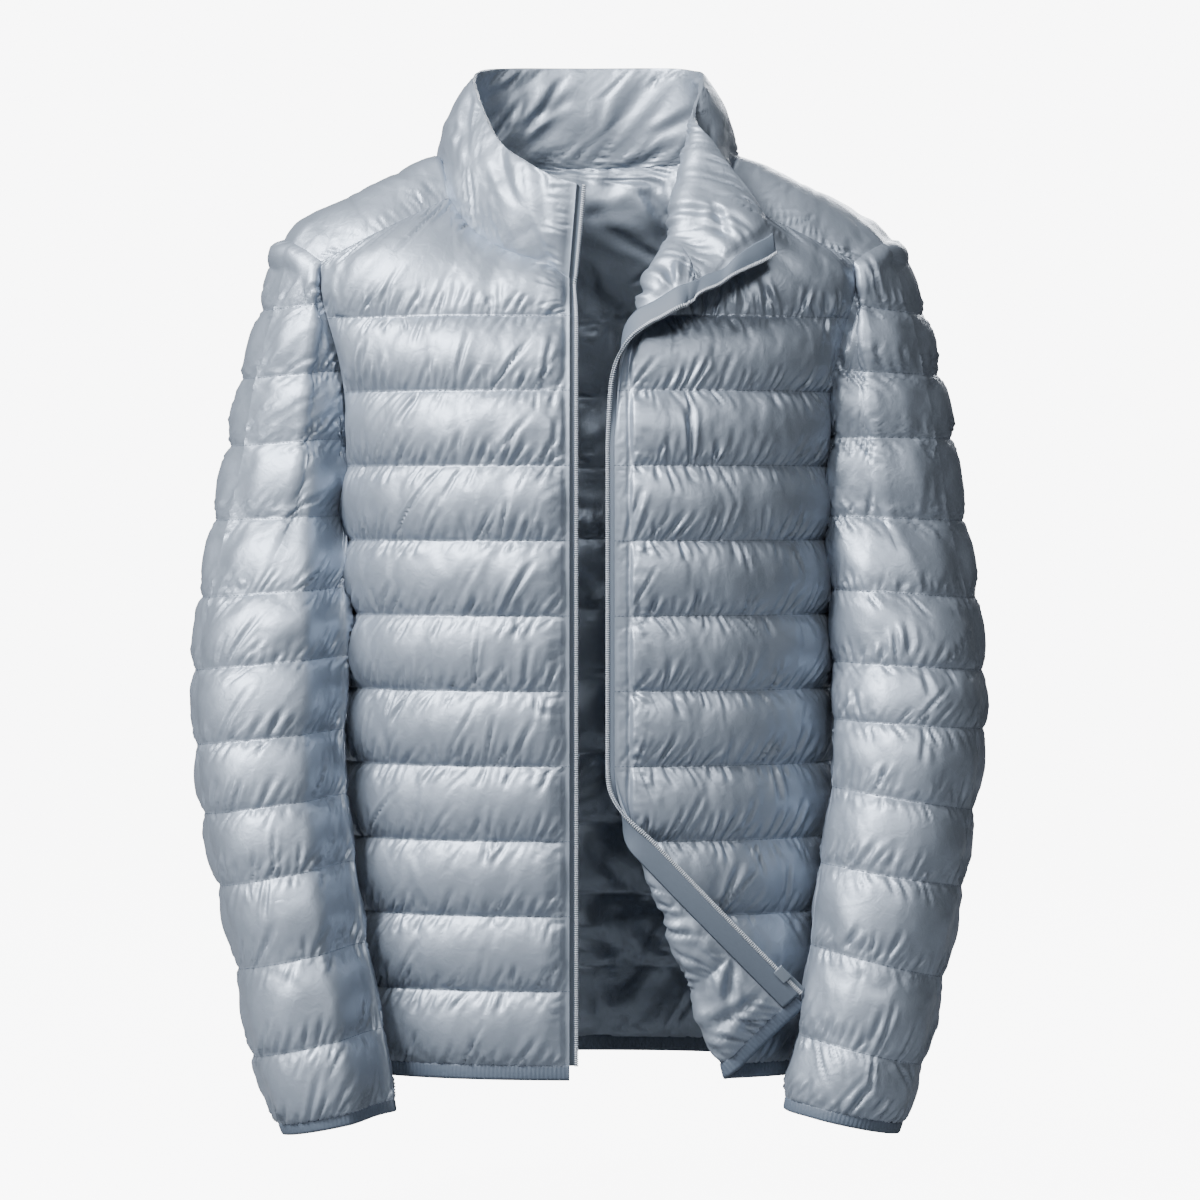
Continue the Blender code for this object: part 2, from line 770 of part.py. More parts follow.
def share_normals(panels):
    """Gives vertices that meet at a seam one normal, so that the pieces' rims line up."""
    totals = {}
    for panel in panels:
        for point, normal in zip(panel.points, panel.normals):
            key = tuple(np.round(point, 1) + 0.0)
            totals[key] = totals.get(key, 0) + normal
    for panel in panels:
        for v, point in enumerate(panel.points):
            normal = totals[tuple(np.round(point, 1) + 0.0)]
            panel.normals[v] = normal / max(np.linalg.norm(normal), 1e-9)


def inset_points(panel):
    """The middle surface with its edges drawn in by the seam's gap."""
    points = panel.points.copy()
    pull = np.zeros_like(points)
    border = {edge for loop in panel.loops for edge in zip(loop, loop[1:] + loop[:1])}
    for face in panel.fine:
        for a, b, c in (face, face[1:] + face[:1], face[2:] + face[:2]):
            if (a, b) in border:
                edge = points[b] - points[a]
                inward = points[c] - points[a]
                inward = inward - edge * np.dot(inward, edge) / np.dot(edge, edge)
                inward = inward / max(np.linalg.norm(inward), 1e-9)
                pull[a] += inward
                pull[b] += inward
    for v, _ in border:
        length = np.linalg.norm(pull[v])
        if length > MITRE_LIMIT:
            points[v] += pull[v] * SEAM_INSET * 2 / length ** 2
    return points


def wall_mesh(panel, half=HALF_WALL):
    """Vertices and faces of a closed wall: raised outside, plain inside, and a rim between them."""
    middle = inset_points(panel)
    rise = np.array(panel.rise)[:, None]
    outer = middle + panel.normals * (half + rise)
    used = sorted({v for face in panel.plain for v in face})
    inner_id = {v: len(outer) + i for i, v in enumerate(used)}
    inner = middle[used] - panel.normals[used] * half
    faces = list(panel.fine)
    faces += [tuple(inner_id[v] for v in face[::-1]) for face in panel.plain]
    for loop in panel.loops:
        kept = [v for v in loop if v in inner_id and any(v in p for p in panel.plain_loops)]
        start = loop.index(kept[0])
        loop = loop[start:] + loop[:start]
        faces += rim(loop, inner_id, set(kept), panel.points @ np.array(RIM_ORDER))
    return np.vstack((outer, inner)), faces


def rim(loop, inner_id, kept, heights):
    """Triangles between the outer loop and the inner loop that keeps only some of its points."""
    faces = []
    stops = [i for i, v in enumerate(loop) if v in kept] + [len(loop)]
    ring = loop + loop[:1]
    for a, b in zip(stops, stops[1:]):
        chain = ring[a:b + 1]
        first = inner_id[chain[0]]
        last = inner_id[chain[-1]]
        middle = len(chain) // 2
        if len(chain) % 2 == 0 and heights[chain[0]] < heights[chain[-1]]:
            middle -= 1
        for k in range(len(chain) - 1):
            peak = first if k < middle else last
            faces.append((chain[k + 1], chain[k], peak))
        faces.append((chain[middle], first, last))
    return faces


def add_object(name, points, faces, material, collection):
    mesh = bpy.data.meshes.new(name)
    mesh.from_pydata([tuple(p * MM) for p in points], [], [tuple(face) for face in faces])
    mesh.materials.append(material)
    mesh.shade_smooth()
    mesh.set_sharp_from_angle(angle=math.radians(SHARP_ANGLE))
    obj = bpy.data.objects.new(name, mesh)
    collection.objects.link(obj)
    return obj


def make_material(name, colour, roughness, metallic=0.0):
    material = bpy.data.materials.new(name)
    material.use_nodes = True
    shader = material.node_tree.nodes["Principled BSDF"]
    shader.inputs["Base Color"].default_value = (*colour, 1.0)
    shader.inputs["Roughness"].default_value = roughness
    shader.inputs["Metallic"].default_value = metallic
    return material


# ---- trim made from a panel's own edge -----------------------------------------------------------------
def ribbon_columns(frames, offsets, depth):
    """Columns beside an edge: one for each distance out of the panel, at a depth under its surface."""
    columns = []
    for offset in offsets:
        column = []
        for i, (point, out, normal) in enumerate(frames):
            column.append((float(i), tuple(point + out * offset - normal * depth), 0.0, True))
        columns.append(column)
    return columns


def panel_edge(panel, column, inner_column):
    """An end column of a panel, with the way out of it and the outward normal at each point."""
    ids = panel.ids[column]
    inner = [(key, panel.points[v]) for key, v, _ in panel.ids[inner_column]]
    keys = [key for key, _ in inner]
    frames = []
    for key, v, _ in ids:
        near = np.array([np.interp(key, keys, [p[axis] for _, p in inner]) for axis in range(3)])
        normal = panel.normals[v]
        out = panel.points[v] - near
        out = out - normal * np.dot(out, normal)
        frames.append((panel.points[v], out / max(np.linalg.norm(out), 1e-9), normal))
    return frames


def row_edge(panel, row, inner_row):
    """The lower edge of a panel, with the way out of it and the outward normal at each point."""
    frames = []
    for column in panel.ids:
        _, v, _ = column[row]
        _, near, _ = column[inner_row]
        normal = panel.normals[v]
        out = panel.points[v] - panel.points[near]
        out = out - normal * np.dot(out, normal)
        frames.append((panel.points[v], out / np.linalg.norm(out), normal))
    return frames


def transpose(columns):
    """The same ribbon with its short rows as columns."""
    rows = []
    for entries in zip(*columns):
        rows.append([(float(i), entry[1], 0.0, True) for i, entry in enumerate(entries)])
    return rows


def finish_ribbon(panel, half, material, collection):
    """Adds a ribbon as a wall of its own, with this half thickness."""
    lengths = np.linalg.norm(panel.normals, axis=1)[:, None]
    panel.normals = panel.normals / np.maximum(lengths, 1e-9)
    points, faces = wall_mesh(panel, half)
    add_object(panel.name, points, faces, material, collection)


# ---- the slider and its pull ----------------------------------------------------------------------------
def slider_frame(front):
    """Origin and u, o, n directions at the slider's place on a front's zip tape."""
    low, high = panel_edge(front, 0, 1)[1:3]
    normal = low[2] + high[2]
    normal = normal / np.linalg.norm(normal)
    along = high[0] - low[0]
    along = along - normal * np.dot(along, normal)
    along = along / np.linalg.norm(along)
    out = np.cross(normal, along)
    place = lerp(low[0], high[0], SLIDER_SHARE - 1.0)
    return place + out * TAPE_SHOWS - normal * TAPE_DEPTH, along, out, normal


def block(name, low, high, collection):
    """A box between two corners, in millimetres of its own frame."""
    low = np.array(low)
    high = np.array(high)
    bpy.ops.mesh.primitive_cube_add(size=MM)
    obj = bpy.context.object
    obj.name = name
    obj.data.name = name
    obj.data.transform(Matrix.Diagonal((*(high - low), 1.0)))
    obj.data.transform(Matrix.Translation((low + high) / 2 * MM))
    for owner in list(obj.users_collection):
        owner.objects.unlink(obj)
    collection.objects.link(obj)
    return obj


def join_blocks(main_block, others, matrix, material):
    """Joins blocks to the main one by Boolean unions and sets them all at the frame's place."""
    main_block.data.materials.append(material)
    main_block.matrix_world = matrix
    for other in others:
        other.matrix_world = matrix
        other.display_type = "WIRE"
        other.hide_render = True
        union = main_block.modifiers.new("join_" + other.name, "BOOLEAN")
        union.operation = "UNION"
        union.solver = "EXACT"
        union.object = other


def add_slider(frame, material, collection, joined):
    """Two plates joined by a web beyond the tape's edge, with a bridge for the pull on the outer one."""
    origin, along, out, normal = frame
    axes = Matrix(np.array((along, out, normal)).T.tolist()).to_4x4()
    matrix = Matrix.Translation(origin * MM) @ axes
    inner = TAPE_HALF + SLIDER_CLEAR
    u = SLIDER_HALF
    o = (SLIDER_BACK, SLIDER_FRONT)
    post = (BRIDGE_BACK, BRIDGE_FRONT)
    end = SLIDER_HALF - BRIDGE_INSET
    under = PLATE_OUTSIDE - BLOCK_OVERLAP
    post_top = BRIDGE_TOP - BLOCK_OVERLAP
    web = block("zip_slider", (-u, SLIDER_CLEAR, -PLATE_OUTSIDE), (u, o[1], PLATE_OUTSIDE), collection)
    others = (
        block("slider_plate_inner", (-u, o[0], -PLATE_OUTSIDE), (u, o[1] - WEB_LIP, -inner), joined),
        block("slider_plate_outer", (-u, o[0], inner), (u, o[1] - WEB_LIP, PLATE_OUTSIDE), joined),
        block("slider_post_low", (-end, post[0], under), (BRIDGE_POST - end, post[1], post_top), joined),
        block("slider_post_high", (end - BRIDGE_POST, post[0], under), (end, post[1], post_top), joined),
        block("slider_bar", (-end, post[0], BRIDGE_TOP - BRIDGE_BAR), (end, post[1], BRIDGE_TOP), joined),
    )
    join_blocks(web, others, matrix, material)


def add_pull(frame, material, collection, joined):
    """The pull's origin lies on its hinge, and the hinge turns about the frame's o direction."""
    origin, along, out, normal = frame
    middle = (BRIDGE_BACK + BRIDGE_FRONT) / 2
    hinge = origin + normal * PIN_HEIGHT + out * middle
    axes = Matrix(np.array((along, out, normal)).T.tolist()).to_4x4()
    matrix = Matrix.Translation(hinge * MM) @ axes
    near = (BRIDGE_FRONT - BRIDGE_BACK) / 2 + ARM_GAP
    far = near + ARM_WIDTH
    r = PIN_RADIUS
    half = TAB_WIDTH / 2
    arm_start = TAB_START + ARM_OVERLAP
    pin = r * PIN_SQUARE
    pin_reach = near + PIN_OVERLAP
    tab = block("zip_pull", (-TAB_END, -half, -r), (-TAB_START, half, r), collection)
    arms = (
        block("pull_arm_out", (-arm_start, near, -r), (r / 2, far, r), joined),
        block("pull_arm_in", (-arm_start, -far, -r), (r / 2, -near, r), joined),
        block("pull_pin", (-pin, -pin_reach, -pin), (pin, pin_reach, pin), joined),
    )
    join_blocks(tab, arms, matrix, material)


# ---- assembly -------------------------------------------------------------------------------------------
def build_panels():
    front = {side: front_columns(side) for side in ("right", "left")}
    back = back_columns()
    collar = collar_columns()
    panels = {}
    for side in ("right", "left"):
        armhole = armhole_points(front[side], back[0] if side == "right" else back[-1])
        columns = sleeve_columns(side, armhole)
        seam = OUTER_SEAM_COLUMN
        flip = side == "left"
        panels[side + "_sleeve_front"] = Panel(side + "_sleeve_front", columns[:seam + 1], flip, SLEEVE_PUFF)
        rear = columns[seam:] + columns[:1]
        panels[side + "_sleeve_back"] = Panel(side + "_sleeve_back", rear, flip, SLEEVE_PUFF)
    neck = FRONT_NECK_COLUMNS["left"]
    front_edge = front["left"][0]
    front["left"] = fold_left(front["left"], fold_weights(len(front["left"]), neck, 0), front_edge)
    middle = FRONT_NECK_COLUMNS["right"] + BACK_NECK_COLUMNS
    last = len(collar) - 1
    weights = [None] * middle + fold_weights(last + 1, last - neck, last)[middle:]
    collar = fold_left(collar, weights, collar[-1])
    panels["right_front"] = Panel("right_front", front["right"], True, BODY_PUFF)
    panels["left_front"] = Panel("left_front", front["left"], False, BODY_PUFF)
    panels["back"] = Panel("back", back, True, BODY_PUFF)
    panels["collar"] = Panel("collar", collar, True, COLLAR_PUFF)
    share_normals(list(panels.values()))
    return panels


def main():
    for obj in list(bpy.data.objects):
        bpy.data.objects.remove(obj)
    collection = bpy.data.collections.new("puffer_jacket")
    bpy.context.scene.collection.children.link(collection)
    shell = make_material("shell_nylon", COLOURS["shell"], 0.35)
    binding = make_material("binding_elastic", COLOURS["binding"], 0.7)
    tape = make_material("zip_tape", COLOURS["tape"], 0.7)
    panels = build_panels()
    for name, panel in panels.items():
        points, faces = wall_mesh(panel)
        add_object(name, points, faces, shell, collection)
    hem = []
    for name, source in (("right", "right_front"), ("back", "back"), ("left", "left_front")):
        frames = row_edge(panels[source], 0, 1)
        ribbon = ribbon_columns(frames, (SEAM_INSET, HEM_BINDING), 0.0)
        hem.append(Panel("hem_binding_" + name, transpose(ribbon), source != "left_front", 0.0))
    share_normals(hem)
    for ribbon_panel in hem:
        finish_ribbon(ribbon_panel, BINDING_HALF, binding, collection)
    for side in ("right", "left"):
        frames = row_edge(panels[side + "_sleeve_front"], -1, -2)
        frames += row_edge(panels[side + "_sleeve_back"], -1, -2)[1:-1]
        ribbon = ribbon_columns(frames, (SEAM_INSET, CUFF_BINDING), 0.0)
        strip_panel = Panel("cuff_binding_" + side, transpose(ribbon), side == "right", 0.0, closed=True)
        finish_ribbon(strip_panel, BINDING_HALF, binding, collection)
        front = panels[side + "_front"]
        edge = panel_edge(front, 0, 1)
        collar = panels["collar"]
        ends = (0, 1) if side == "right" else (-1, -2)
        edge += panel_edge(collar, *ends)[1:]
        offsets = (TAPE_SHOWS, TAPE_SHOWS / 2, -TAPE_UNDER)
        ribbon = ribbon_columns(edge, offsets, TAPE_DEPTH)
        strip_panel = Panel("zip_tape_" + side, ribbon, side == "right", 0.0)
        finish_ribbon(strip_panel, TAPE_HALF, tape, collection)
    joined = bpy.data.collections.new("joined_blocks")
    bpy.context.scene.collection.children.link(joined)
    metal = make_material("slider_metal", COLOURS["metal"], 0.35, 1.0)
    frame = slider_frame(panels["left_front"])
    add_slider(frame, metal, collection, joined)
    add_pull(frame, metal, collection, joined)


main()
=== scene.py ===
"""Dresses the puffer jacket's solids: quilted panels, bindings, zip, sewing, stage, lights and camera.

All forms are worked out in millimetres in the jacket's own frame and written in metres. The wearer's right
is at negative x, the front faces negative y, and z is up from the base of the neck.
"""
import math

import bpy
import numpy as np
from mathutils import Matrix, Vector


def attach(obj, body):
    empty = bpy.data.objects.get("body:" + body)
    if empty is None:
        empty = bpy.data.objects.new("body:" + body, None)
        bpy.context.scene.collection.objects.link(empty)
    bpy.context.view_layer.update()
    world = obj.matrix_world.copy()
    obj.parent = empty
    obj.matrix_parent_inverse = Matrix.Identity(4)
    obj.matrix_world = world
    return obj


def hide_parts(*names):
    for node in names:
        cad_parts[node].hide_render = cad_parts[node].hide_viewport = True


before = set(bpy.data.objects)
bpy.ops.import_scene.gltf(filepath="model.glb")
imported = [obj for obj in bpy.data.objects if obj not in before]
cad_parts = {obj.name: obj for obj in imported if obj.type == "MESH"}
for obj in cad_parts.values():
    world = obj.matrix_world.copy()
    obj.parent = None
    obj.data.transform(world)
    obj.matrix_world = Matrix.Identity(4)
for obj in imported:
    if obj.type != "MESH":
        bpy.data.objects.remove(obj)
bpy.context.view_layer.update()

bl_info = {
    "name": "Puffer Jacket Dressing",
    "version": (1, 0, 0),
    "blender": (4, 5, 0),
    "location": "View3D > Sidebar > Jacket",
    "description": "Builds the quilted look of a puffer jacket over its solids",
    "category": "Object",
}

MM = 0.001

# ---- driving dimensions, in millimetres -------------------------------------------------------------
HALF_WALL = 1.0          # half of the thickness where the layers are stitched together
SLEEVE_GAP = 13.0        # from the body's centre surface to the sleeve's
SEAM_PUFF = 0.2          # share of the puff that is left at a piece's sewn edge
TOP_QUILT = -113.0       # height of the first stitched line across the body
QUILT_PITCH = 56.6       # between two stitched lines
BODY_CHANNELS = 10
HEM_BINDING = 11.0
CUFF_BINDING = 8.5
BINDING_HALF = 1.6
UNDERARM_CHANNEL = 3     # the armhole starts at the fourth stitched line
BODY_SQUARENESS = 2.25   # exponent of the body's rings, 2 is an ellipse

RIGHT_EDGE_X = -14.0     # where each front ends at the zip tape
LEFT_EDGE_X = 20.0
LEFT_NECK_EXTRA = 27.0   # how much further the left front laps over at the neck
TAPE_SHOWS = 6.0         # tape beyond the front's edge
TAPE_HALF = 0.6
TAPE_DEPTH = 2.5         # tape centre below the front's own centre surface

FRONT_NECK_COLUMNS = {"right": 6, "left": 12}
BACK_NECK_COLUMNS = 5
SHOULDER_COLUMNS = 4
SHOULDER_EASE = 4.0      # the back's columns turn in to the neck late, past its widest point
NECK_CROWNS = (0.0, 14.0, 5.0, 0.0, 0.0, 0.0)        # lift of the columns behind the neck's sides
RIDGE_SHARES = (0.625, 0.69, 0.75, 0.81, 0.875)      # where each shoulder column crosses the ridge
SLEEVE_COLUMNS = 22      # round the arm, from the underarm up the front and down the back
OUTER_SEAM_COLUMN = 10
BACK_SEAM_COLUMN = 16    # column of the sleeve that meets the back's first stitched line
FRONT_SEAM_COLUMN = 6    # column of the sleeve that meets the front's first stitched line
FRONT_INNER_X = (112.0, 98.0)     # x of a front's last neck column at the hem and at the first line
FRONT_INNER_Z = (-690.0, -113.0)  # the heights of these two

# Body rings: height, half width, half depth.
BODY_RINGS = (
    (-690, 184, 126),
    (-550, 186, 132),
    (-400, 187, 138),
    (-283, 187, 140),
    (-226, 189, 137),
    (-169, 196, 127),
    (-113, 214, 108),
    (-84, 225, 92),
    (-51, 235, 68),
    (-25, 186, 47),
    (12, 116, 36),
    (40, 63, 34),
)

# Armhole seam up to the shoulder: height, half width.
ARMHOLE = (
    (-283, 187.0),
    (-255, 186.2),
    (-226, 185.5),
    (-198, 185.0),
    (-170, 186.0),
    (-141, 191.0),
    (-113, 199.0),
    (-90, 205.0),
    (-69.5, 204.3),
)
# Armhole over the shoulder, from the front seam to the back line: half width, height, side of the ridge.
ARMHOLE_TOP = (
    (204.3, -69.5, -1),
    (216.0, -61.0, -1),
    (227.0, -55.0, -1),
    (235.0, -51.0, 0),
    (229.0, -55.5, 1),
    (220.0, -64.0, 1),
    (211.0, -79.0, 1),
    (204.0, -96.0, 1),
    (199.0, -113.0, 1),
)

# Neck seam and collar edge, centre front to centre back: seam x, z, y, then collar top x, z, y.
NECK = (
    (14.4, -83.6, -92, 8.4, -12.0, -94),
    (28.0, -75.0, -89, 24.0, -7.0, -88),
    (42.6, -69.0, -84, 38.0, 0.0, -80),
    (57.0, -64.0, -77, 50.0, 8.0, -70),
    (68.6, -59.0, -69, 60.0, 15.0, -58),
    (81.0, -51.0, -58, 68.5, 24.0, -46),
    (91.9, -41.6, -48, 75.0, 35.0, -33),
    (107.0, -20.0, -28, 82.0, 53.0, -12),
    (113.0, 2.0, -4, 88.0, 70.0, 8),
    (116.0, 12.0, 14, 88.0, 79.0, 26),
    (105.0, 14.0, 40, 77.0, 84.5, 47),
    (80.0, 12.0, 58, 58.0, 86.5, 60),
    (40.0, 9.0, 68, 29.0, 87.0, 67),
    (0.0, 8.0, 71, 0.0, 87.0, 69),
)
SHOULDER_ROW = 7         # the row of NECK where the shoulder seam ends

# Sleeve rings, shoulder to cuff: outer x, outer z, inner x, inner z, centre y, half depth.
RIGHT_SLEEVE = (
    (235, -51, 190, -45, 0, 60),
    (251, -106, 186, -98, -5, 62),
    (266, -159, 184, -152, -10, 64),
    (275, -211, 183, -204, -18, 64),
    (286, -268, 183, -264, -28, 62),
    (295, -327, 184, -319, -42, 59),
    (299, -382, 185, -371, -55, 56),
    (297, -438, 189, -427, -70, 54),
    (290, -490, 187, -476, -84, 52),
    (278, -544, 180, -526, -96, 51),
    (263, -606, 171, -587, -108, 49),
    (251, -671, 158, -651, -118, 47),
    (232, -722, 149, -705, -124, 42),
    (228, -731, 147, -714, -125, 41),
)
LEFT_SLEEVE = (
    (235, -51, 190, -45, 0, 60),
    (258, -109, 186, -98, -5, 62),
    (269, -156, 184, -152, -10, 64),
    (279, -205, 183, -204, -18, 64),
    (288, -268, 183, -264, -28, 62),
    (296, -327, 186, -320, -42, 59),
    (300, -382, 190, -375, -55, 56),
    (300, -426, 191, -419, -70, 54),
    (291, -487, 189, -470, -84, 52),
    (282, -544, 180, -527, -96, 51),
    (267, -612, 172, -588, -108, 49),
    (251, -677, 162, -655, -118, 47),
    (236, -721, 152, -703, -124, 42),
    (232, -730, 152, -712, -125, 41),
)

# Turned-out edges of the left front. Axis x, y, z, the way its outer face looks (degrees from -Y to +X),
# bend radius and turn in degrees. Both axes run upwards.
LAPEL_ROLL = (
    (20.0, -130, -205, 2, 9, 150),
    (33.0, -119, -150, 6, 9, 150),
    (55.0, -98, -98, 14, 9, 150),
    (71.0, -71, -60, 28, 9, 146),
    (77.0, -52, -20, 44, 9, 144),
    (80.0, -37, 13, 56, 8, 150),
    (84.0, -12, 48, 74, 7, 165),
    (86.0, 12, 72, 90, 7, 175),
    (82.0, 44, 92, 120, 7, 180),
)
CORNER_ROLL = (
    (116.5, -107, -700, 20, 7.5, 173),
    (67.2, -123.5, -575, 12, 7.5, 173),
    (18.0, -134, -450, 2, 7.5, 169),
)

# How far the turned-out zip edge is drawn from where the roll puts it: height on the flat edge, x, y, z.
LAPEL_LAY = (
    (-127.0, 0.0, 0.0, 0.0),
    (-113.0, 0.0, 0.0, -3.0),
    (-98.3, -2.0, 3.0, -4.0),
    (-83.6, -14.0, 18.0, -14.0),
    (-65.7, -20.0, 13.0, -12.6),
    (-47.8, -29.0, 1.5, -20.8),
    (-29.9, -27.0, 2.0, -31.0),
    (-12.0, -23.6, 4.3, -34.2),
)
LAPEL_LOW = -215.0       # the lapel's roll starts above this height
CORNER_HIGH = -430.0     # the lower corner's fold starts under this one
LAY_POWER = 5.0          # how fast that drawing fades away from the zip edge

# ---- quilting -------------------------------------------------------------------------------------------
YOKE_ROWS = 1.6            # rows of a front's yoke, in channels
BACK_YOKE_ROWS = 3
LINE_CROWDING = 0.06       # how much closer the rows lie beside a stitched line
COLUMN_SHARES = (0.36, 0.22, 0.8, 0.43)   # columns for each row: right neck, left neck, flank, back neck
SLEEVE_COLUMN_SHARE = 0.36
SLEEVE_CHANNELS = len(RIGHT_SLEEVE) - 2
FIRST_ROW_GAP = 0.035      # a sleeve's first row lies at least this share of a channel under its seam
CHANNEL_POWER = 0.72       # under 1 the channels rise steeply beside their lines
VISUAL_PUFF = {"body": 8.5, "sleeve": 5.4, "collar": 7.0}    # rise of a channel over its stitched lines
EDGE_RISE = 20.0           # how far from a sewn edge the channels reach their full rise
SEAM_LIFT = 0.94           # share of the rise that is left on a sleeve's own seams
RIM_RISE = {"outer": 4.0, "seam": 3.0, "lining": 6.0}    # over how much the rise beside a rim grows
LOWEST_LIFT = -0.5         # creases may press a sheet this far into the wall

# The cloth run.
CLOTH_SEED = 11
CLOTH_FRAMES = 20
CLOTH_QUALITY = 5
CLOTH_MASS = 0.3
CLOTH_DAMPING = 5.0
BENDING_DAMPING = 0.5
CLOTH_DRIFT = 4.0          # the run's points keep within this much of their base along the panel
CLOTH_OVER = 5.0           # and rise at most this much over the puff
START_RISE = 2.0           # where the run's points start over their base
START_NOISE = 0.25

# Creases that leave the stitched lines, and the long streaks across the channels.
NOISE_CELLS = 256
PUCKER_REACH = (8.0, 26.0)
PUCKER_WIDTH = (1.0, 2.3)
PUCKER_SLANT = 0.45
PUCKER_SPREAD = 0.25       # spread of the slant
PUCKER_DEPTHS = (0.2, 1.0)
PUCKER_WINDOW = 2.5        # a crease is worked out over so many of its longest reaches to each side
PUCKER_GAPS = (0.35, 1.65)     # gaps between creases, in shares of their spacing
PUCKER_LONG = (0.15, 1.7)      # share of the creases that are longer, and how much
PUCKER_UPPER = {"gap": 1.5, "reach": 0.7}     # creases that hang from the line above
PUCKER_START = 0.12        # how much of a crease lies past its line
STREAK_WIDTH = 24.0
STREAK_LENGTH = 60.0
STREAK_FINE = (0.45, 0.35)     # width and depth of the finer streaks, in shares
LEANS = {                  # which way creases lean over a stitched line and under one
    "right_front": (-1.0, -1.0), "left_front": (1.0, -1.0), "back": (1.0, 1.0), "collar": (1.0, 1.0),
    "right_sleeve": (-1.0, -1.0), "left_sleeve": (1.0, -1.0)}

# The collar's folds and the lining.
COLLAR_PUCKER = 0.5        # depth of the collar's creases, in shares of the body's
COLLAR_CRINKLE = 2.4
CRINKLE_AREA = 1000.0      # square millimetres for each crease of the lining
CRINKLE_LENGTH = (35.0, 120.0)
CRINKLE_WIDTH = (0.06, 0.12)   # in shares of the length
CRINKLE_ANGLE = (1.0, 0.7)     # middle and spread of the angle, in radians
CRINKLE_DEPTHS = (0.3, 1.0)
LINING_CRINKLE = 3.2
LINING_PUFF = 5.0
LINING_POWER = 0.7
LINING_LIMIT = 9.0
FOLD_PITCH = 22.0          # between the folds of the lining beside the zip's tape
FOLD_GAPS = (0.5, 1.5)
FOLD_TILT = (0.0, 0.4)
FOLD_WIDTH = (2.5, 5.0)
FOLD_LENGTH = (25.0, 70.0)
FOLD_DEPTH = (2.0, 6.0)

# The flat band beside the zip edge.
BAND_WIDTH = {"left_front": 11.0, "right_front": 3.0, "collar": 4.0}   # from the edge to the stitching
BAND_RISE = 3.0
BAND_SHARE = 0.3           # share of the channels' rise that is left on the band
BAND_GROOVE = 1.2
BAND_GROOVE_WIDTH = 1.6
BAND_PUCKER = 9.0          # between the creases across the stitching
BAND_GAPS = (0.4, 1.6)
BAND_TILT = (-0.25, 0.35)
BAND_OUTSIDE = ((1.0, 2.2), (8.0, 26.0), (0.3, 1.3))    # width, reach and depth of the creases beside it
BAND_INSIDE = ((0.9, 1.4), (0.3, 0.8))      # width and depth of the creases on the band itself
BAND_WIDE = 6.0            # wider bands than this carry creases too

# Where the sleeves rest against the body.
TUCK_WIDTH = 30.0          # how far the sleeve slopes away beside its inner edge
TUCK_SHARE = {"right_sleeve": 0.05, "left_sleeve": 0.9}    # share of its depth that is left at the edge
TUCK_ROWS = 61             # rows over which that edge is smoothed
SLEEVE_LAP = 2.0           # how far the edge rests in the body's side
SLEEVE_LAP_WIDTH = 14.0

# Bindings, tapes, teeth, slider and stitches.
EDGE_SPREAD = 7            # frames of a zip edge that are averaged
BINDING_LAP = 1.6          # how far a binding reaches over the panel
BINDING_STEP = 0.8
BINDING_RIB = 0.12         # height of the knitted ribs, in shares of the thickness
TAPE_INSIDE = 13.0         # width of the tape that shows on the lining side
TAPE_STEP = 2.0
TAPE_CLEAR = 0.7           # share of that width from which the lining may rise
TOOTH_PITCH = 1.6
TOOTH_SIZE = (0.96, 3.0, 0.8)
TOOTH_INSET = 0.8          # from the tape's free edge
TOOTH_RISE = 0.25
SLIDER_ROUND = 0.35        # bevel of the slider's and the pull's edges
SMOOTH_ANGLE = 35.0        # degrees
STITCH_PITCH = 3.0
STITCH_SIZE = (2.25, 0.5, 0.35)
STITCH_RISE = 0.12

# ---- stage, in metres and watts --------------------------------------------------------------------------
CAMERA_SHIFT = (0.01, -0.0833)
SENSOR_WIDTH = 36.0        # millimetres
FLOOR_HALF = 8000.0        # millimetres
LAMP_TARGET = (0.0, 0.0, -0.35)
LAMPS = (
    # name, place, size, watts
    ("key", (-1.6, -1.35, 1.5), (0.9, 0.6), 215.0),
    ("side", (-2.8, -1.8, 0.5), (0.6, 1.4), 30.0),
    ("front", (0.7, -3.4, 2.2), (1.4, 0.7), 95.0),
    ("back", (0.9, 3.0, 1.4), (1.6, 1.0), 110.0),
    ("top", (-0.3, 0.3, 2.2), (1.6, 0.8), 8.0),
)
LAMP_COLOUR = "#FFFFFF"
STUDIO_COLOUR = "#F7F7F8"
PAPER_COLOUR = "#77797C"
WORLD_STRENGTH = 0.05
BACKDROP_GLOW = 9.0        # how bright floor and studio are to the camera

# ---- the pattern's own form -----------------------------------------------------------------------------
SIGN = {"right": -1.0, "left": 1.0}


def smooth_table(rows):
    """A function that reads a table smoothly between its rows, by its first column."""
    data = np.array(sorted(rows, key=lambda row: row[0]), float)
    keys = data[:, 0]
    slopes = np.gradient(data, keys, axis=0)

    def read(key):
        key = np.clip(np.asarray(key, float), keys[0], keys[-1])
        i = np.minimum(np.searchsorted(keys, key, side="right") - 1, len(keys) - 2)
        step = (keys[i + 1] - keys[i])[..., None]
        t = (key - keys[i])[..., None] / step
        value = (2 * t ** 3 - 3 * t ** 2 + 1) * data[i] + (t ** 3 - 2 * t ** 2 + t) * step * slopes[i]
        value = value + (3 * t ** 2 - 2 * t ** 3) * data[i + 1] + (t ** 3 - t ** 2) * step * slopes[i + 1]
        return np.moveaxis(value[..., 1:], -1, 0)
    return read


def smooth_path(points):
    """A function of 0..1 along a smooth curve through the points, by arc length of x, y, z."""
    points = np.array(points, float)
    shares = travelled(points[:, :3])
    shares /= shares[-1]
    return smooth_table([(s, *p) for s, p in zip(shares, points)]), shares


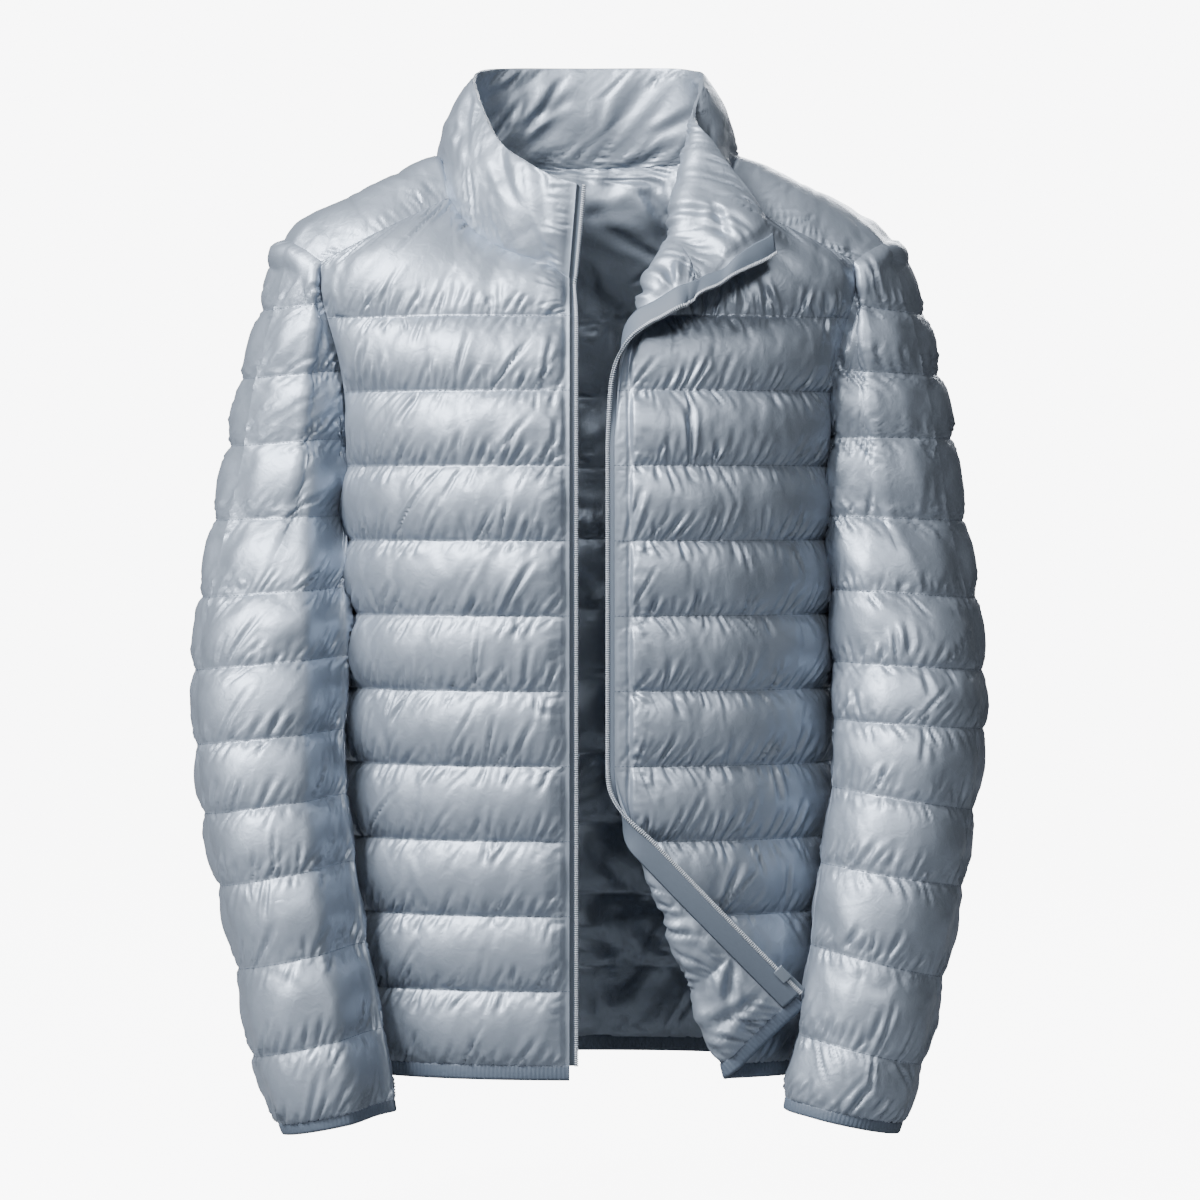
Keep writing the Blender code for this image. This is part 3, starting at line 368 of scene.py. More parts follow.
def lerp(a, b, t):
    return a + (b - a) * t


def smoothstep(t):
    t = np.clip(t, 0.0, 1.0)
    return t * t * (3 - 2 * t)


def travelled(points, axis=0):
    """Millimetres from the first point to each one along an axis of a grid, or along a path."""
    steps = np.linalg.norm(np.diff(points, axis=axis), axis=-1)
    start = np.zeros_like(np.take(steps, [0], axis=axis))
    return np.concatenate((start, np.cumsum(steps, axis)), axis)


body_ring = smooth_table(BODY_RINGS)
armhole_width = smooth_table(ARMHOLE)
neck_curve, NECK_SHARES = smooth_path([(r[0], r[2], r[1], r[3], r[5], r[4]) for r in NECK])
NECK_POINT = NECK_SHARES[SHOULDER_ROW]


def body_depth(x, z):
    """How far the body's surface stands in front of its middle, or behind it."""
    width, depth = body_ring(z)
    share = np.maximum(0.0, 1 - (np.abs(x) / width) ** BODY_SQUARENESS)
    return depth * share ** (1 / BODY_SQUARENESS)


def body_at_angle(angle, z):
    """Half width of the body at an angle from its middle line, and the inverse of angle_at."""
    return body_ring(z)[0] * np.maximum(0.0, np.sin(angle)) ** (2 / BODY_SQUARENESS)


def angle_at(x, z):
    share = np.minimum(1.0, np.abs(x) / body_ring(z)[0])
    return np.arcsin(share ** (BODY_SQUARENESS / 2))


def quilt_z(line):
    return TOP_QUILT - QUILT_PITCH * line


def outer_angle(z):
    """Where a panel ends on its ring: at the armhole, and under it at the side seam."""
    above = z > quilt_z(UNDERARM_CHANNEL) + 0.1
    return np.where(above, angle_at(armhole_width(z)[0], z), math.pi / 2)


def shoulder_seam(share):
    """The forward shoulder seam from the neck to the armhole."""
    start = neck_curve(NECK_POINT)[:3]
    x, z, _ = ARMHOLE_TOP[0]
    end = np.array((x, -float(body_depth(x, z)), z))
    point = lerp(start, end, share)
    point[1] = lerp(point[1], -float(body_depth(point[0], point[2])), math.sin(math.pi * share))
    return point


def lap_over(point, share):
    """Draws a point of the neck on over the middle, for the left front's wider edge."""
    point[0] -= LEFT_NECK_EXTRA * max(0.0, 1 - share / NECK_POINT) ** 2
    return point


def front_top(side, column):
    count = FRONT_NECK_COLUMNS[side]
    if column <= count:
        share = NECK_POINT * column / count
        point = neck_curve(share)[:3].copy()
        return lap_over(point, share) if side == "left" else point
    return shoulder_seam((column - count) / SHOULDER_COLUMNS)


def front_grid(side, column_step, lines, yoke_shares):
    """Base points of a front, column by column from the zip edge: quilted rows, then the yoke's."""
    neck = FRONT_NECK_COLUMNS[side]
    total = neck + SHOULDER_COLUMNS
    edge_x = {"right": -RIGHT_EDGE_X, "left": LEFT_EDGE_X}[side]
    z = quilt_z(lines)
    outer = outer_angle(z)
    bottom, top_line = FRONT_INNER_Z
    inner_x = lerp(*FRONT_INNER_X, smoothstep((z - bottom) / (top_line - bottom)))
    inner = angle_at(inner_x, z)

    def yoke(low, column):
        top = front_top(side, column)
        x = lerp(low[0], top[0], yoke_shares)
        height = lerp(low[2], top[2], yoke_shares)
        miss = top[1] + float(body_depth(top[0], top[2]))
        points = np.stack((x, -body_depth(x, height) + miss * yoke_shares ** 1.5, height), 1)
        if column == total:
            x = armhole_width(height)[0]
            points = np.stack((x, -body_depth(x, height), height), 1)
        return points

    def lower(column):
        if column <= neck:
            x = lerp(edge_x, inner_x, column / neck)
        else:
            x = body_at_angle(lerp(inner, outer, (column - neck) / SHOULDER_COLUMNS), z)
        return np.stack((x, -body_depth(x, z), z), 1)

    columns = []
    for column in fine_columns(total, column_step):
        low = lower(column)
        if column <= total - 1:
            high = yoke(low[-1], column)
        else:
            part = column - (total - 1)
            high = lerp(yoke(lower(total - 1)[-1], total - 1), yoke(lower(total)[-1], total), part)
        columns.append(np.vstack((low, high)))
    grid = np.array(columns)
    grid[..., 0] *= SIGN[side]
    return grid


def fine_columns(total, step):
    """Column numbers with whole ones kept: step is one count for each interval."""
    values = [c + k / step[c] for c in range(total) for k in range(step[c])]
    return values + [total]


RIDGE_Z = np.linspace(-51, 40, 60)
RIDGE_X = body_ring(RIDGE_Z)[0]


def ridge_z(x):
    return np.interp(-np.abs(x), -RIDGE_X, RIDGE_Z)


def back_top(column, half):
    place = half - abs(column - half)
    if place <= SHOULDER_COLUMNS:
        return shoulder_seam(1 - place / SHOULDER_COLUMNS)
    t = (place - SHOULDER_COLUMNS) / BACK_NECK_COLUMNS
    return neck_curve(lerp(NECK_POINT, 1.0, t))[:3].copy()


def over_shoulder(low, top, t, ridge_share, crown, behind):
    """Points on the way from the back's first line over the shoulder ridge to its front seam."""
    x = lerp(low[0], top[0], t if behind else t ** SHOULDER_EASE)
    start = -math.sqrt(max(0.0, float(ridge_z(low[0])) - low[2]))
    end = math.sqrt(max(0.0, float(ridge_z(top[0])) - top[2]))
    if behind:
        place = lerp(start, -end, t)
    else:
        late = lerp(0.0, end, (t - ridge_share) / (1 - ridge_share))
        place = np.where(t < ridge_share, lerp(start, 0.0, t / ridge_share), late)
    z = ridge_z(x) - place * place
    side = np.where(place < 0, 1.0, -1.0)
    low_miss = low[1] - float(body_depth(low[0], low[2]))
    top_miss = top[1] - (1.0 if behind else -1.0) * float(body_depth(top[0], top[2]))
    lift = crown * np.sin(math.pi * t)
    y = side * body_depth(x, z) + low_miss * (1 - t) + top_miss * t + lift / 2
    return np.stack((x, y, z + lift), 1)


def back_grid(step, lines, shares):
    """Base points of the back, from the right side seam to the left one, over both shoulders."""
    half = SHOULDER_COLUMNS + BACK_NECK_COLUMNS
    z = quilt_z(lines)
    outer = outer_angle(z)
    tip = np.array([(x, s * float(body_depth(x, h)), h) for x, h, s in ARMHOLE_TOP[::-1]])
    keys = np.linspace(0, 1, len(tip))
    edge = np.stack([np.interp(shares, keys, tip[:, axis]) for axis in range(3)], 1)

    def lower(place):
        x = body_at_angle(outer * (half - place) / half, z)
        return np.stack((x, body_depth(x, z), z), 1)

    def yoke(place):
        top = back_top(place, half)
        ridge = np.interp(place, range(len(RIDGE_SHARES)), RIDGE_SHARES)
        crown = np.interp(place - SHOULDER_COLUMNS, range(len(NECK_CROWNS)), NECK_CROWNS)
        return over_shoulder(lower(place)[-1], top, shares, ridge, crown, place > SHOULDER_COLUMNS)

    columns = {}
    for column in fine_columns(2 * half, step):
        place = half - abs(column - half)
        if place < 1:
            high = lerp(edge, yoke(1.0), place)
        elif SHOULDER_COLUMNS < place < SHOULDER_COLUMNS + 1:
            high = lerp(yoke(float(SHOULDER_COLUMNS)), yoke(SHOULDER_COLUMNS + 1.0), place - SHOULDER_COLUMNS)
            high[-1] = back_top(place, half)
        else:
            high = yoke(float(place))
        points = np.vstack((lower(place), high))
        points[:, 0] *= -1.0 if column < half else 1.0
        columns[column] = points
    return np.array([columns[c] for c in sorted(columns)])


def collar_grid(right_step, left_step, back_step, shares):
    """Base points of the collar, from its right front end round the back to its left front end."""
    places = []
    for side, step in (("right", right_step), ("left", left_step)):
        count = FRONT_NECK_COLUMNS[side]
        front = [NECK_POINT * c / count for c in fine_columns(count, step)]
        tail = fine_columns(BACK_NECK_COLUMNS, back_step)[1:]
        back = [lerp(NECK_POINT, 1.0, c / BACK_NECK_COLUMNS) for c in tail]
        places.append([(SIGN[side], share) for share in front + back])
    columns = []
    for sign, share in places[0] + places[1][-2::-1]:
        values = neck_curve(share)
        base = values[:3].copy()
        top = values[3:].copy()
        if sign > 0:
            base = lap_over(base, share)
            top = lap_over(top, share)
        column = np.array([lerp(base, top, t) for t in shares])
        column[:, 0] *= sign
        columns.append(column)
    return np.array(columns), len(places[0]) - 1


def keep_clear(points, gap):
    """Moves a sleeve's points outwards until they are this far from the body's surface."""
    shares = np.abs(points[:, :2]) / body_ring(points[:, 2]).T
    scale = np.sum(shares ** BODY_SQUARENESS, 1) ** (1 / BODY_SQUARENESS)
    wanted = 1 + gap * scale / np.maximum(np.hypot(points[:, 0], points[:, 1]), 1.0)
    push = np.where((scale >= wanted) | (scale < 0.3), 1.0, wanted / np.maximum(scale, 1e-6))
    result = points.copy()
    result[:, :2] *= push[:, None]
    return result


# The way round the arm of each armhole column, in degrees from the outside; the other half mirrors it.
ARM_STOPS = (0, 8, 18, 28, 38, 48, 58, 74, 95, 122, 150, 180)
ARM_EVEN = (3.0, 4.0)      # from this line on, over so many lines, the columns go round evenly
ARM_FOLLOW = (3.6, 2.8)    # the same for the sleeve that leaves the armhole's own shape
ARM_CLEAR = 0.9            # lines until the sleeve stands clear of the body


def sleeve_columns(side, armhole, all_lines):
    """A sleeve from its armhole points: for each column, its points from the seam down."""
    table = RIGHT_SLEEVE if side == "right" else LEFT_SLEEVE
    rings = smooth_table([(i, *row) for i, row in enumerate(table)])
    last = len(table) - 2

    def ring_points(lines, angle):
        ox, oz, ix, iz, cy, depth = rings(lines)
        across = np.cos(angle)
        x = (ox + ix) / 2 - (ox - ix) / 2 * across
        z = (oz + iz) / 2 - (oz - iz) / 2 * across
        return np.stack((SIGN[side] * x, cy - depth * np.sin(angle), z), 1)

    count = len(armhole)
    every = np.linspace(0, last, 240)
    columns = []
    for c, start in enumerate(armhole):
        place = SLEEVE_COLUMNS * c / count
        folded = min(place, SLEEVE_COLUMNS - place)
        arm_angle = math.radians(float(np.interp(folded, range(len(ARM_STOPS)), ARM_STOPS)))
        if place > SLEEVE_COLUMNS / 2:
            arm_angle = 2 * math.pi - arm_angle
        even_angle = 2 * math.pi * c / count
        first = float(np.interp(-start[2], -ring_points(every, arm_angle)[:, 2], every))
        miss = start - ring_points(np.array([first]), arm_angle)[0]
        lines = all_lines[all_lines > first + FIRST_ROW_GAP]
        angle = lerp(arm_angle, even_angle, smoothstep((lines - ARM_EVEN[0]) / ARM_EVEN[1]))
        follow = 1 - smoothstep((lines - ARM_FOLLOW[0]) / ARM_FOLLOW[1])
        points = ring_points(lines, angle) + miss * follow[:, None]
        points = keep_clear(points, SLEEVE_GAP * np.minimum(1.0, (lines - first) / ARM_CLEAR) ** 0.5)
        columns.append(np.vstack((start, points)))
    return columns


def armhole_line(front, back, front_lines, back_lines, count):
    """Fine points of the armhole seam: up the front, over the shoulder and down the back."""
    on_front = front_lines <= UNDERARM_CHANNEL + 1e-6
    on_back = (back_lines <= UNDERARM_CHANNEL + 1e-6) & (back_lines > -1 + 1e-6)
    before, behind = front_lines[on_front], back_lines[on_back]
    places = np.append(FRONT_SEAM_COLUMN - 2 * before, BACK_SEAM_COLUMN + np.where(behind < 0, 8, 2) * behind)
    points = np.vstack((front[-1][on_front], back[on_back]))
    order = np.argsort(places)
    wanted = np.arange(count) * SLEEVE_COLUMNS / count
    return np.stack([np.interp(wanted, places[order], points[order, axis]) for axis in range(3)], 1)


# ---- turned-out edges -----------------------------------------------------------------------------------
def roll_axis(rows):
    """A fold's axis by height, and the lowest and highest height that it has."""
    heights = [row[2] for row in rows]
    return smooth_table([(row[2], *row) for row in rows]), min(heights), max(heights)


def fold_out(points, axis):
    """Rolls points outwards about an upright axis where they lie on the axis's flap side."""
    read, low, high = axis
    z = np.clip(points[:, 2], low + 1.0, high - 1.0)
    x, y, height, facing, radius, turn = read(z)
    foot = np.stack((x, y, height), 1)
    along = np.stack(read(z + 1.0)[:3], 1) - np.stack(read(z - 1.0)[:3], 1)
    along /= np.linalg.norm(along, axis=1)[:, None]
    facing = np.radians(facing)
    outward = np.stack((np.sin(facing), -np.cos(facing), 0 * facing), 1)
    outward -= along * np.sum(outward * along, 1)[:, None]
    outward /= np.linalg.norm(outward, axis=1)[:, None]
    toward = np.cross(outward, along)
    offset = points - foot
    reach = np.sum(offset * toward, 1)
    lift = np.sum(offset * outward, 1)
    limit = np.radians(turn)
    angle = np.minimum(reach / radius, limit)
    rest = np.maximum(0.0, reach - radius * limit)
    result = foot + along * np.sum(offset * along, 1)[:, None]
    result += toward * (radius * np.sin(angle) + rest * np.cos(limit))[:, None]
    result += outward * (radius * (1 - np.cos(angle)) + rest * np.sin(limit))[:, None]
    result += (outward * np.cos(angle)[:, None] - toward * np.sin(angle)[:, None]) * lift[:, None]
    return np.where((reach > 0)[:, None], result, points)


lapel_axis = roll_axis(LAPEL_ROLL)
corner_axis = roll_axis(CORNER_ROLL)
lapel_lay = smooth_table(LAPEL_LAY)


def fold_left(grid, weights, edge):
    """Turns out a grid's flap at the neck and lower corner; weights is None on columns that stay."""
    result = grid.copy()
    for c, weight in enumerate(weights):
        if weight is None:
            continue
        column = grid[c]
        high = column[:, 2] > LAPEL_LOW
        low = column[:, 2] < CORNER_HIGH
        moved = fold_out(column, lapel_axis) + lapel_lay(edge[:, 2]).T * weight ** LAY_POWER
        result[c] = np.where(high[:, None], moved, column)
        result[c] = np.where(low[:, None], fold_out(column, corner_axis), result[c])
    return result


def fold_weights(places, first, last):
    """How far each column has come on the way from first to last, 0 before it."""
    return [max(0.0, (c - first) / (last - first)) for c in places]


# ---- panels ---------------------------------------------------------------------------------------------
def channel_shares(count):
    """Shares across one channel, closer together beside its stitched lines."""
    t = np.arange(count) / count
    return t - LINE_CROWDING * np.sin(2 * math.pi * t)


def line_places(channels, count):
    """Row places over whole channels, each channel in count rows, the last line included."""
    places = np.arange(channels)[:, None] + channel_shares(count)
    return np.append(places.ravel(), channels)


def unit(vectors):
    return vectors / np.maximum(np.linalg.norm(vectors, axis=-1, keepdims=True), 1e-9)


def grid_normals(grid, outward, tube=False):
    """Normals of a grid of points; outward is 1 or -1 for the side that faces out."""
    up = np.gradient(grid, axis=1)
    return unit(np.cross(across_grid(grid, tube), up)) * outward


def across_grid(grid, tube=False):
    """Steps from column to column; a tube's first and last columns lie on each other."""
    if not tube:
        return np.gradient(grid, axis=0)
    return np.gradient(np.concatenate((grid[-2:-1], grid, grid[1:2])), axis=0)[1:-1]


ZIP_COLUMNS = {"right_front": (0,), "left_front": (0,), "collar": (0, -1)}     # columns beside the zip


class Panel:
    """One cut panel: its base grid, its quilting places and what the cloth run did to it."""

    def __init__(self, name, base, lines, outward, puff, valid=None):
        self.name = name
        self.base = base
        self.lines = lines
        self.outward = outward
        self.puff = puff
        self.valid = np.ones(base.shape[:2], bool) if valid is None else valid
        self.shaped = base
        self.moved = np.zeros(base.shape)
        self.tube = False
        self.zip_columns = ZIP_COLUMNS.get(name, ())


def double(field, axis):
    """Twice as many places along an axis, smooth between the ones that were there."""
    field = np.moveaxis(field, axis, 0)
    middle = (field[:-1] + field[1:]) / 2
    result = np.empty((2 * len(field) - 1,) + field.shape[1:])
    result[::2] = field
    result[1::2] = middle
    result[2:-2:2] = (middle[:-1] + middle[1:]) / 4 + field[1:-1] / 2
    return np.moveaxis(result, 0, axis)


def build_forms():
    """All panels on a coarse and a fine grid, before the folds and the cloth run."""
    sizes = bpy.context.scene.jacket_quilting
    rows = sizes.rows_per_channel
    forms = {}
    for level, factor in (("coarse", 1), ("fine", 2)):
        n = rows * factor
        body = line_places(BODY_CHANNELS, n)[::-1]
        yoke = line_places(1, int(YOKE_ROWS * rows) * factor)[1:]
        back_yoke = line_places(1, BACK_YOKE_ROWS * rows * factor)[1:]
        right, left, flank, behind = (max(2, round(rows * share)) * factor for share in COLUMN_SHARES)
        neck = {"right": [right] * FRONT_NECK_COLUMNS["right"], "left": [left] * FRONT_NECK_COLUMNS["left"]}
        flank = [flank] * SHOULDER_COLUMNS
        behind = [behind] * BACK_NECK_COLUMNS
        panels = {}
        for side in SIGN:
            grid = front_grid(side, neck[side] + flank, body, yoke)
            panel = Panel(side + "_front", grid, np.append(body, -yoke), SIGN[side], VISUAL_PUFF["body"])
            panel.places = fine_columns(FRONT_NECK_COLUMNS[side] + SHOULDER_COLUMNS, neck[side] + flank)
            panels[panel.name] = panel
        grid = back_grid(flank + behind + behind + flank, body, back_yoke)
        panels["back"] = Panel("back", grid, np.append(body, -back_yoke), -1.0, VISUAL_PUFF["body"])
        shares = line_places(2, rows * factor) / 2
        grid, centre = collar_grid(neck["right"], neck["left"], behind, shares)
        panels["collar"] = Panel("collar", grid, shares, -1.0, VISUAL_PUFF["collar"])
        panels["collar"].centre = centre
        panels["collar"].places = collar_places(neck["right"], neck["left"], behind)
        for side in SIGN:
            back_edge = panels["back"].base[0 if side == "right" else -1]
            front = panels[side + "_front"]
            count = SLEEVE_COLUMNS * max(2, round(rows * SLEEVE_COLUMN_SHARE)) * factor
            hole = armhole_line(front.base, back_edge, front.lines, panels["back"].lines, count)
            panels[side + "_sleeve"] = sleeve_panel(side, hole, line_places(SLEEVE_CHANNELS, n), count)
        forms[level] = panels
    return forms


def sleeve_panel(side, armhole, lines, count):
    """A sleeve as a grid round the arm; the first row of a column lies on the armhole seam."""
    columns = sleeve_columns(side, armhole, lines)
    rows = len(lines)
    base = np.zeros((count + 1, rows, 3))
    valid = np.zeros((count + 1, rows), bool)
    for c in range(count + 1):
        points = columns[c % count]
        start = rows - len(points)
        base[c, start:] = points
        valid[c, start:] = True
        base[c, :start] = points[0]
    panel = Panel(side + "_sleeve", base, lines, -SIGN[side], VISUAL_PUFF["sleeve"], valid)
    panel.tube = True
    return panel


def panel_faces(valid, outward):
    """Quads between neighbouring columns, with triangles where a column starts lower."""
    columns, rows = valid.shape
    ids = np.arange(columns * rows).reshape(columns, rows)
    whole = valid[:-1, :-1] & valid[1:, :-1] & valid[:-1, 1:] & valid[1:, 1:]
    quads = np.stack((ids[:-1, :-1], ids[1:, :-1], ids[1:, 1:], ids[:-1, 1:]), -1)[whole].tolist()
    starts = np.argmax(valid, axis=1)
    for c in range(columns - 1):
        a, b = int(starts[c]), int(starts[c + 1])
        for row in range(min(a, b), max(a, b)):
            if a < b:
                quads.append([int(ids[c, row]), int(ids[c + 1, b]), int(ids[c, row + 1])])
            else:
                quads.append([int(ids[c, a]), int(ids[c + 1, row]), int(ids[c + 1, row + 1])])
    if outward < 0:
        quads = [face[::-1] for face in quads]
    return quads


def make_object(name, points, faces):
    """A mesh object from points in millimetres, with every used point kept."""
    points = np.asarray(points, float).reshape(-1, 3)
    used = np.zeros(len(points), bool)
    used[np.concatenate([np.asarray(face) for face in faces])] = True
    new_ids = np.cumsum(used) - 1
    mesh = bpy.data.meshes.new(name)
    sizes = np.array([len(face) for face in faces])
    flat = new_ids[np.concatenate([np.asarray(face) for face in faces])]
    mesh.vertices.add(int(used.sum()))
    mesh.vertices.foreach_set("co", (points[used] * MM).ravel())
    mesh.loops.add(len(flat))
    mesh.loops.foreach_set("vertex_index", flat)
    mesh.polygons.add(len(faces))
    mesh.polygons.foreach_set("loop_start", np.concatenate(([0], np.cumsum(sizes)[:-1])))
    mesh.update(calc_edges=True)
    mesh.validate()
    mesh.shade_smooth()
    obj = bpy.data.objects.new(name, mesh)
    bpy.context.scene.collection.objects.link(obj)
    return obj


def activate(obj):
    """Makes one object the only selected and the active one."""
    bpy.ops.object.select_all(action="DESELECT")
    obj.select_set(True)
    bpy.context.view_layer.objects.active = obj


def edit_mesh(obj, operator, **settings):
    """Runs one edit-mode operator on the whole mesh of an object."""
    activate(obj)
    bpy.ops.object.mode_set(mode="EDIT")
    bpy.ops.mesh.select_all(action="SELECT")
    operator(**settings)
    bpy.ops.object.mode_set(mode="OBJECT")


# ---- the cloth run --------------------------------------------------------------------------------------
def stitched_rows(panel):
    """Whether each row of a panel lies on a stitched line."""
    return np.isclose(panel.lines, np.round(panel.lines)) & (panel.lines > -0.5)


def seam_column(columns):
    """The column of a sleeve's grid where its outer seam lies."""
    return OUTER_SEAM_COLUMN * (columns - 1) // SLEEVE_COLUMNS


def run_cloth(panels):
    """Fills every coarse panel between its stitched lines and keeps how each point moved."""
    sizes = bpy.context.scene.jacket_quilting
    scene = bpy.context.scene
    jobs = []
    for seed, panel in enumerate(panels.values()):
        columns, rows = panel.valid.shape
        base = panel.base
        normals = grid_normals(base, panel.outward, panel.tube)
        random = np.random.default_rng(CLOTH_SEED + seed)
        start = np.abs(np.sin(math.pi * panel.lines)) * START_RISE
        start = start[None, :, None] + random.normal(0, START_NOISE, (columns, rows, 1))
        pinned = np.zeros((columns, rows), bool)
        pinned[:, stitched_rows(panel)] = True
        pinned[:, -1] = True
        pinned[0] = pinned[-1] = True
        if panel.tube:
            pinned[np.arange(columns), np.argmax(panel.valid, axis=1)] = True
            pinned[seam_column(columns)] = True
        start[pinned] = 0.0
        faces = panel_faces(panel.valid, panel.outward)
        points = base + normals * start
        if panel.tube:
            points = points[:-1]
            last = (columns - 1) * rows
            faces = [[v - last if v >= last else v for v in face] for face in faces]
            pinned = pinned[:-1]
        keep = np.unique(np.concatenate([np.asarray(face) for face in faces]))
        obj = make_object("cloth_" + panel.name, points, faces)
        group = obj.vertex_groups.new(name="stitched")
        group.add(np.flatnonzero(pinned.ravel()[keep]).tolist(), 1.0, "REPLACE")
        activate(obj)
        bpy.ops.object.modifier_add(type="CLOTH")
        modifier = obj.modifiers[0]
        cloth = modifier.settings
        cloth.quality = CLOTH_QUALITY
        cloth.mass = CLOTH_MASS
        cloth.tension_stiffness = cloth.compression_stiffness = sizes.stiffness
        cloth.shear_stiffness = sizes.stiffness / 3
        cloth.bending_stiffness = sizes.bending
        cloth.tension_damping = cloth.compression_damping = cloth.shear_damping = CLOTH_DAMPING
        cloth.bending_damping = BENDING_DAMPING
        cloth.use_pressure = True
        cloth.uniform_pressure_force = sizes.pressure
        cloth.shrink_min = -sizes.fullness
        cloth.vertex_group_mass = "stitched"
        cloth.effector_weights.gravity = 0
        modifier.collision_settings.use_collision = False
        modifier.point_cache.frame_start = 1
        modifier.point_cache.frame_end = CLOTH_FRAMES
        jobs.append((panel, obj, keep, normals))
    for step in range(1, CLOTH_FRAMES + 1):
        scene.frame_set(step)
    graph = bpy.context.evaluated_depsgraph_get()
    for panel, obj, keep, normals in jobs:
        columns, rows = panel.valid.shape
        mesh = obj.evaluated_get(graph).data
        moved = np.zeros(len(mesh.vertices) * 3)
        mesh.vertices.foreach_get("co", moved)
        full = panel.base[:-1].copy() if panel.tube else panel.base.copy()
        flat = full.reshape(-1, 3)
        flat[keep] = moved.reshape(-1, 3) / MM
        if panel.tube:
            full = np.concatenate((full, full[:1]))
        change = full - panel.base
        across = unit(across_grid(panel.base, panel.tube))
        along = np.cross(normals, across)
        local = np.stack([np.sum(change * axis, -1) for axis in (across, along, normals)], -1)
        low = (-CLOTH_DRIFT, -CLOTH_DRIFT, -1.0)
        panel.moved = np.clip(local, low, (CLOTH_DRIFT, CLOTH_DRIFT, panel.puff + CLOTH_OVER))
        panel.moved[~panel.valid] = 0.0
    for _, obj, _, _ in jobs:
        mesh = obj.data
        bpy.data.objects.remove(obj)
        bpy.data.meshes.remove(mesh)
    scene.frame_set(1)


# ---- creases --------------------------------------------------------------------------------------------
def lattice_noise(u, v, seed):
    """Smooth noise in -1..1 over two coordinates, one random value for each whole step."""
    values = np.random.default_rng(seed).uniform(-1, 1, (NOISE_CELLS, NOISE_CELLS))
    u0, v0 = np.floor(u).astype(int), np.floor(v).astype(int)
    tu, tv = smoothstep(u - u0), smoothstep(v - v0)
    corner = [values[(u0 + i) % NOISE_CELLS, (v0 + j) % NOISE_CELLS] for i in (0, 1) for j in (0, 1)]
    return lerp(lerp(corner[0], corner[1], tv), lerp(corner[2], corner[3], tv), tu)


def surface_places(panel):
    """For every point: millimetres along its row, and along its column from the first row."""
    base = panel.base
    steps = np.linalg.norm(np.diff(base, axis=1), axis=2).T
    real = (panel.valid[:, :-1] & panel.valid[:, 1:]).T
    steps = [np.median(row[there]) if there.any() else 1.0 for row, there in zip(steps, real)]
    down = np.concatenate(([0.0], np.cumsum(steps)))
    return travelled(base), np.broadcast_to(down, base.shape[:2])


def random_places(random, pitch, low, high, length):
    """Places along a length at random gaps of low to high times the pitch, drawn one at a time."""
    at = 0.0
    while at < length:
        at += pitch * random.uniform(low, high)
        yield at


def press_crease(field, off, along, width, length, depth):
    """Presses one crease into a field: off is the distance across it, along runs 0..length."""
    t = np.clip(along / length, 0, 1)
    inside = (np.abs(off) < 4 * width) & (along > 0) & (along < length)
    w = width * (0.6 + 0.8 * t)
    shape = np.exp(-(off / w) ** 2) - 0.5 * np.exp(-((np.abs(off) - 1.9 * w) / w) ** 2)
    field -= np.where(inside, depth * np.abs(np.sin(math.pi * t)) ** 0.8 * shape, 0.0)


def pucker_field(panel, seed):
    """Narrow slanted creases that leave each stitched line, as heights in millimetres."""
    sizes = bpy.context.scene.jacket_quilting
    random = np.random.default_rng(seed)
    along, down = surface_places(panel)
    field = np.zeros(panel.base.shape[:2])
    lines = panel.lines
    lower_lean, upper_lean = LEANS[panel.name]
    long_share, long_reach = PUCKER_LONG
    for channel in range(math.floor(lines.min()), math.ceil(lines.max())):
        inside = np.flatnonzero((lines >= channel - 1e-9) & (lines <= channel + 1 + 1e-9))
        if len(inside) < 4:
            continue
        s = along[:, inside]
        rise = down[:, inside] - down[:, inside[:1]]
        height = float(rise.max())
        squeezed = smoothstep(rise[:, -1:] / (0.7 * height))
        part = np.zeros(s.shape)
        for from_end in (False, True):
            away = height - rise if from_end else rise
            upper = from_end != panel.tube
            gap, shorter = (PUCKER_UPPER["gap"], PUCKER_UPPER["reach"]) if upper else (1.0, 1.0)
            lean = -upper_lean if upper else lower_lean
            spacing = sizes.pucker_spacing * gap
            for at in random_places(random, spacing, *PUCKER_GAPS, float(s.max())):
                reach = random.uniform(*PUCKER_REACH) * (long_reach if random.random() < long_share else 1.0)
                reach = min(reach * shorter, 0.9 * height)
                width = random.uniform(*PUCKER_WIDTH)
                depth = sizes.pucker_depth * random.uniform(*PUCKER_DEPTHS) * (reach / PUCKER_REACH[1]) ** 0.5
                slant = random.normal(PUCKER_SLANT, PUCKER_SPREAD) * lean
                near = np.abs(s - at).min(axis=1) < PUCKER_WINDOW * PUCKER_REACH[1] + 4 * width
                if near.any():
                    off = s[near] - at - slant * away[near]
                    piece = part[near]
                    start = PUCKER_START * reach
                    press_crease(piece, off, away[near] + start, width, reach + start, depth)
                    part[near] = piece
        across = s - PUCKER_SLANT * upper_lean * (-1.0 if panel.tube else 1.0) * rise
        down_it = rise / STREAK_LENGTH + random.uniform(0, NOISE_CELLS)
        streak = lattice_noise(across / STREAK_WIDTH, down_it, seed)
        fine = lattice_noise(across / (STREAK_FINE[0] * STREAK_WIDTH), down_it, seed + 1)
        streak = sizes.streak_depth * (streak - STREAK_FINE[1] * np.abs(fine))
        part += streak * np.abs(np.sin(math.pi * rise / height)) ** 0.5
        field[:, inside] += part * squeezed
    return field


